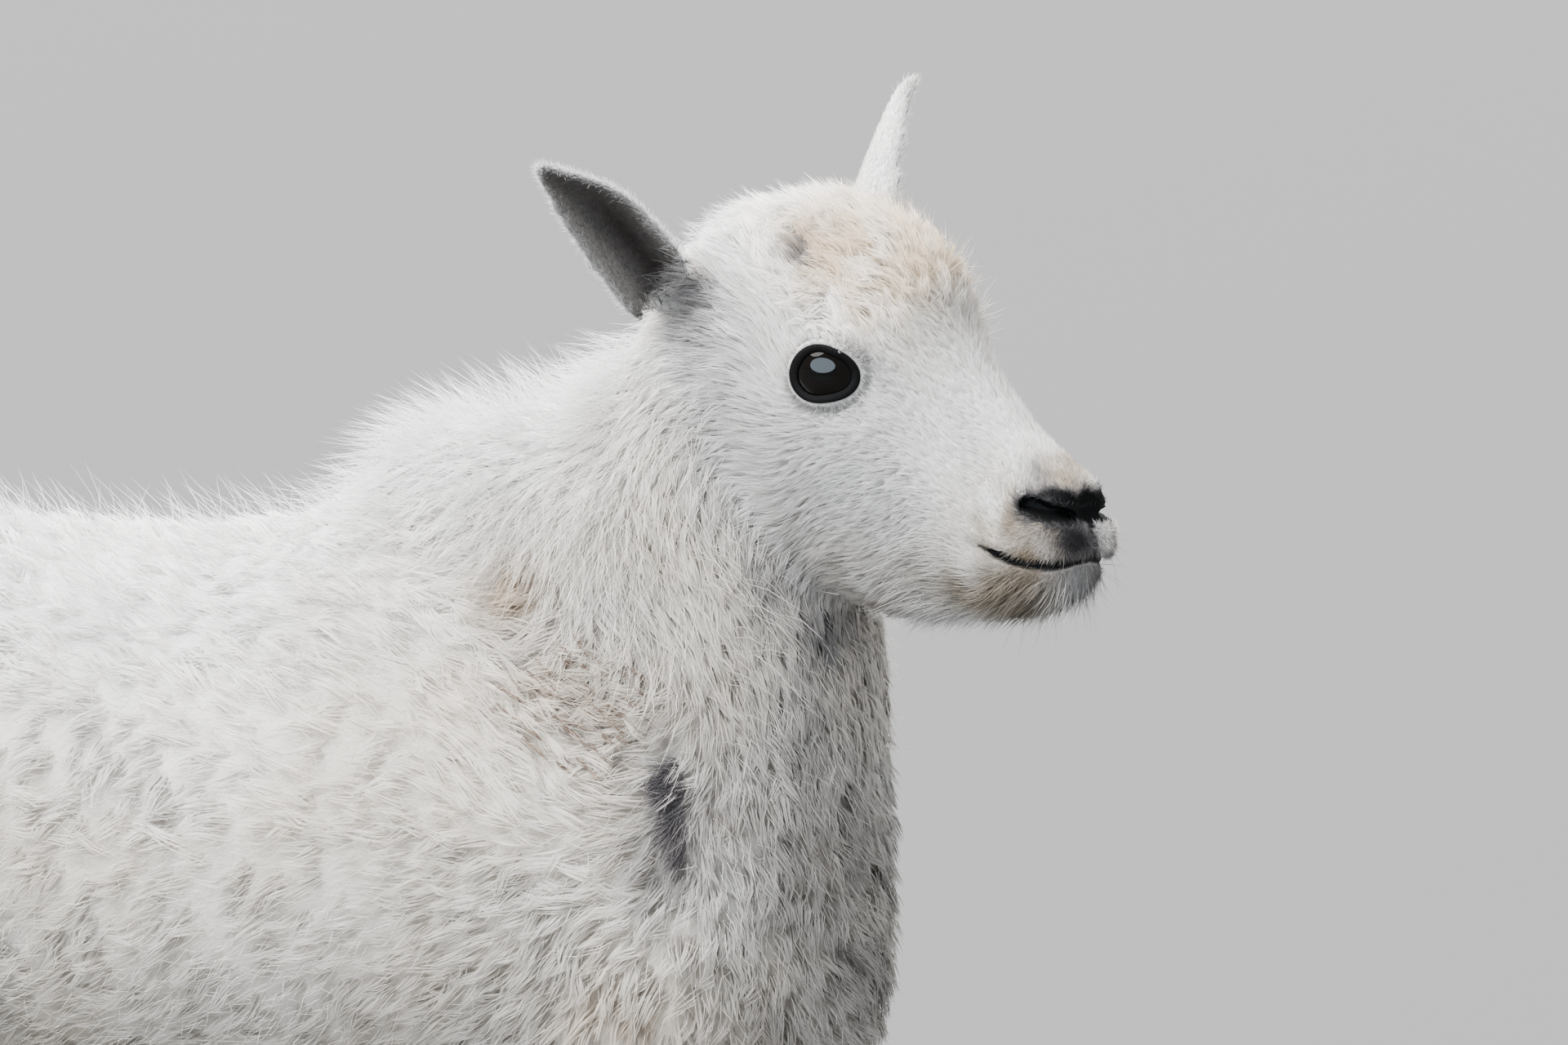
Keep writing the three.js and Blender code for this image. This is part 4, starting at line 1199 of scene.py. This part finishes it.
def lashes():
    gaze, ahead, up = eyeFrame()
    draw = np.random.default_rng(lashLook["seed"])
    roots, ways, bends = [], [], []

    def outFrom(angle, outline, past, stray=0):  # sideways from the middle, and outward, at an angle round the eye
        size = (outlineRadius(outline, np.array([angle]))[0] + past + stray) / eye["radius"]
        spoke = ahead * math.cos(angle) + up * math.sin(angle)
        return spoke, gaze * math.cos(size) + spoke * math.sin(size)

    for side in (1, -1):
        flip = np.array((1, side, 1))
        for k in range(lashLook["count"]):
            even = np.interp(k, [0, lashLook["count"] - 1], [lashLook["from"], lashLook["to"]])
            spoke, outward = outFrom(math.radians(even + draw.normal(0, 1.5)), eye["opening"], 1.1)
            roots.append(fromHead((np.array(eye["middle"]) + outward * (eye["radius"] + 1.0)) * flip))
            way = unit(outward * 0.9 + spoke * 0.15 - up * 0.35 + draw.normal(0, 0.08, 3))
            ways.append((way * flip) @ turn.T)
            bends.append(((spoke * 0.5 + gaze * 0.1 - ahead * 0.25) * flip) @ turn.T)
        for past, low, high in lashLook["folds"]:  # fine dark lines in the skin over the eye
            for k in range(lashLook["foldHairs"]):
                angle = math.radians(draw.uniform(low, high))
                spoke, outward = outFrom(angle, eye["rim"], past, draw.normal(0, 0.15))
                place = np.array(eye["middle"]) + outward * (eye["radius"] + 2)
                spot, facing = overSkin.find_nearest(fromHead(place * flip).tolist())[:2]
                roots.append(np.array(spot + facing * 0.9 * mm))
                ways.append(((up * math.cos(angle) - ahead * math.sin(angle)) * flip) @ turn.T)
                bends.append(-0.12 * (spoke * flip) @ turn.T)
    count = len(roots)
    reach = draw.uniform(*lashLook["length"], count) * mm
    widths = np.full(count, lashLook["width"] * mm)
    colour = np.array(lashLook["colour"]) + np.zeros((count, 3))
    uv = np.full((count, 2), 0.5)
    strands("lashes", np.array(roots), np.array(ways), np.array(bends), reach, widths, colour, uv, 3, lashFinish, 1)


def lidRim():
    # the wet black edge of both lids: a ring spun round, then laid flat from the opening out to the rim
    gaze, ahead, up = eyeFrame()
    half, (low, top) = lidLook["half"], lidLook["raised"]
    shape = bmesh.new()
    turned = Matrix.Translation((1, 0, 0)) @ Matrix.Rotation(math.pi / 2, 4, "X")
    for side in (1, -1):
        ring = bmesh.ops.create_circle(shape, segments=lidLook["across"], radius=half, matrix=turned)
        edges = [e for e in shape.edges if e.verts[0] in ring["verts"]]
        bmesh.ops.spin(shape, geom=ring["verts"] + edges, axis=(0, 0, 1), cent=(0, 0, 0), steps=lidLook["around"],
                       angle=2 * math.pi, use_merge=True)
        mine = [v for v in shape.verts if not v.tag]
        places = np.array([v.co for v in mine])
        angle = np.arctan2(places[:, 1], places[:, 0])
        out, high = (np.hypot(places[:, 0], places[:, 1]) - 1) / half, places[:, 2] / half
        inner, outer = (outlineRadius(eye[line], angle) for line in ("opening", "rim"))
        part = (out + 1) / 2
        size = (inner + lidLook["inner"] + (outer - inner + lidLook["outer"] - lidLook["inner"]) * part) / eye["radius"]
        reach = eye["radius"] + low + (top - low) * part ** 0.7 + lidLook["thick"] * high
        spoke = np.cos(angle)[:, None] * ahead + np.sin(angle)[:, None] * up
        ball = np.cos(size)[:, None] * gaze + np.sin(size)[:, None] * spoke
        placed = fromHead((np.array(eye["middle"]) + ball * reach[:, None]) * np.array((1, side, 1)))
        for vertex, place in zip(mine, placed):
            vertex.co = Vector(place)
            vertex.tag = True
    faceOutwards(shape)
    look = Finish("wet lid", Roughness=0.6, Specular_IOR_Level=0.03)
    grain = look.noise(1500, 3)
    look.use("Base Color", look.blend("MIX", grain, (0.002, 0.002, 0.002), (0.008, 0.007, 0.007)))
    look.use("Normal", look.bump(grain, 0.3, 0.0003))
    finishPiece(objectFrom(shape, "lidRims"), look.material)


eyeFinish = Finish("wet eye", Roughness=0.2, Specular_IOR_Level=0.0, Coat_Weight=1.0, Coat_Roughness=0.02, Coat_IOR=1.25)
veins = eyeFinish.noise(900, 2)
eyeFinish.use("Base Color", eyeFinish.blend("MULTIPLY", veins * 0.4, eyeFinish.attribute("eyeColour"), (0.6, 0.55, 0.5)))
for side, node in ((1, "eye_left"), (-1, "eye_right")):
    finishPiece(eyeBall(side), eyeFinish.material, [node])
lashFinish = Finish("lash", Roughness=0.45, Specular_IOR_Level=0.4)
lashFinish.use("Base Color", lashFinish.attribute("hairColour"))
lashes()
lidRim()
print("eyes made")

# Hooves, dewclaws and horn buds

hoofLook = {"grain": 1.15, "rounds": 7, "colour": (0.035, 0.031, 0.029), "worn": (0.16, 0.14, 0.12)}
clawLook = {"grain": 0.8, "rounds": 5}
budLook = {"at": (-33.5, 30.5, 24.2), "size": (4.0, 4.0, 4.4), "lean": -0.7, "colour": (0.03, 0.027, 0.027),
           "scaly": (0.13, 0.11, 0.1)}
feet = [f"{end}_{side}_{part}" for end in ("fore", "hind") for side in ("left", "right") for part in ("inner", "outer")]


def hornFrom(name, nodes, look):
    # copies of the solids, made fine and rounded, soles kept flat
    body = bmesh.new()
    for node in nodes:
        addCopy(body, node, 0.1)
    piece = objectFrom(body, name)
    voxelRemesh(piece, look["grain"])
    points = pointsOf(piece.data)
    sole = points[:, 2] < 0.6 * mm
    moved = relax(points, edgesOf(piece.data), 0.6, look["rounds"])
    moved[:, 2] = np.where(sole, 0, np.maximum(moved[:, 2], 0))
    setPoints(piece.data, moved)
    return piece


def hoofFinish():
    look = Finish("hoof horn", Roughness=0.5, Specular_IOR_Level=0.4)
    rings = look.noise(60, 5, look.place((0.35, 0.35, 4)))
    specks = look.noise(500, 3)
    look.use("Base Color", look.blend("MIX", rings.math("POWER", 2.5), hoofLook["colour"], hoofLook["worn"]))
    look.use("Roughness", 0.42 + specks * 0.3)
    look.use("Normal", look.bump(rings + specks * 0.3, 0.5, 0.0012))
    return look


def hornBuds():
    shape = bmesh.new()
    for side in (1, -1):
        addBall(shape, budLook["at"], budLook["size"], side, 4, budLook["lean"])
    look = Finish("bud horn", Roughness=0.7)
    scale = look.noise(700, 4)
    look.use("Base Color", look.blend("MIX", scale, budLook["colour"], budLook["scaly"]))
    look.use("Normal", look.bump(scale, 0.7, 0.001))
    finishPiece(objectFrom(shape, "hornBuds"), look.material, ["horn_bud_left", "horn_bud_right"])


horn = hoofFinish()
for name, start, look in (("hooves", "toe", hoofLook), ("dewclaws", "dewclaw", clawLook)):
    nodes = [f"{start}_{foot}" for foot in feet]
    finishPiece(hornFrom(name, nodes, look), horn.material, nodes)
hornBuds()
print("hooves and buds made")

# Skin, floor, light and camera

skinFinish = Finish("kid skin", Roughness=0.8, Specular_IOR_Level=0.05)
grain, clumps = skinFinish.noise(700, 4), skinFinish.noise(160, 3)
nakedHere = skinFinish.attribute("bare", "Fac")
toned = skinFinish.blend("MULTIPLY", 0.1 + clumps * 0.4, skinFinish.attribute("hairColour"), (0.93, 0.91, 0.89))
skinFinish.use("Base Color", skinFinish.blend("MIX", nakedHere, toned, coatLook["black"]))
skinFinish.use("Roughness", 0.85 - nakedHere * 0.2 + (grain - 0.5) * 0.1)
skinFinish.use("Normal", skinFinish.bump(grain + clumps, 0.6, 0.0009))
finishPiece(skin, skinFinish.material, skinForm["nodes"])

camera = {
    "distance": 6.0, "lens": 382.5, "facing": 15, "above": 8,
    "frameMiddle": (960, 640), "eyeAt": (1007, 457), "pixels": 3400,  # in the photo, and its pixels to a metre
}
studio = {
    "floor": 160, "floorColour": (0.088, 0.09, 0.091), "floorCloud": (0.1, 0.102, 0.103),
    "sky": (0.90, 0.95, 1.0), "skyStrength": 0.7,
    # from where, angle across, strength, colour
    "suns": [((-0.5, -0.38, 1.0), 50, 9, (1, 0.985, 0.96)), ((-0.5, 0.8, 1.0), 50, 12, (1, 0.985, 0.97))],
    # place, aim, width and height, watts, colour
    "softbox": ((-0.25, -1.6, 1.5), (0.19, -0.06, 0.49), (1.6, 1.6), 48, (0.86, 0.93, 1)),
    "eyePanel": ((-0.16, -1.86, 0.99), (0.19, -0.06, 0.49), (2.7, 1.4), 165, (0.72, 0.86, 1)),
}


def addCamera():
    around, above = math.radians(camera["facing"]), math.radians(camera["above"])
    right = np.array((math.cos(around), math.sin(around), 0))
    back = np.array((math.sin(around) * math.cos(above), -math.cos(around) * math.cos(above), math.sin(above)))
    up = np.cross(back, right)
    eyeFront = fromHead((np.array(eye["middle"]) + eyeFrame()[0] * eye["radius"]) * np.array((1, -1, 1)))
    across, down = (np.array(camera["frameMiddle"]) - np.array(camera["eyeAt"])) / camera["pixels"]
    target = eyeFront + right * across - up * down
    view = bpy.data.cameras.new("camera")
    view.lens, view.sensor_width, view.clip_end = camera["lens"], 36, 200
    holder = newObject("camera", view)
    columns = Matrix((right, up, back)).transposed().to_4x4()
    holder.matrix_world = Matrix.Translation(Vector(target + back * camera["distance"])) @ columns
    bpy.context.scene.camera = holder


def addLight(name, kind, place, aim, strength, colour):
    light = bpy.data.lights.new(name, kind)
    light.energy, light.color = strength, colour
    holder = newObject(name, light)
    turned = (Vector(aim) - Vector(place)).to_track_quat("-Z", "Y").to_matrix().to_4x4()
    holder.matrix_world = Matrix.Translation(Vector(place)) @ turned
    return holder


def addSoftbox(name, onlyGloss=False):
    place, aim, size, watts, colour = studio[name]
    holder = addLight(name, "AREA", place, aim, watts, colour)
    holder.data.shape = "ELLIPSE"
    holder.data.size, holder.data.size_y = size
    holder.visible_camera = False
    holder.visible_diffuse, holder.visible_glossy = not onlyGloss, onlyGloss  # the panel only shows in the eye


def addFloor():
    plane = bmesh.new()
    bmesh.ops.create_grid(plane, x_segments=1, y_segments=1, size=studio["floor"] / 2)
    floor = objectFrom(plane, "floor")
    look = Finish("studio floor", Roughness=0.9)
    look.use("Base Color", look.blend("MIX", look.noise(3, 2) * 0.1, studio["floorColour"], studio["floorCloud"]))
    floor.data.materials.append(look.material)


addCamera()
for i, (place, across, strength, colour) in enumerate(studio["suns"]):
    addLight(f"sun{i}", "SUN", place, (0, 0, 0), strength, colour).data.angle = math.radians(across)
addSoftbox("softbox")
addSoftbox("eyePanel", onlyGloss=True)
addFloor()
world = bpy.data.worlds.new("studio")
bpy.context.scene.world = world
world.use_nodes = True
sky = world.node_tree.nodes["Background"].inputs
sky["Color"].default_value = (*studio["sky"], 1)
sky["Strength"].default_value = studio["skyStrength"]
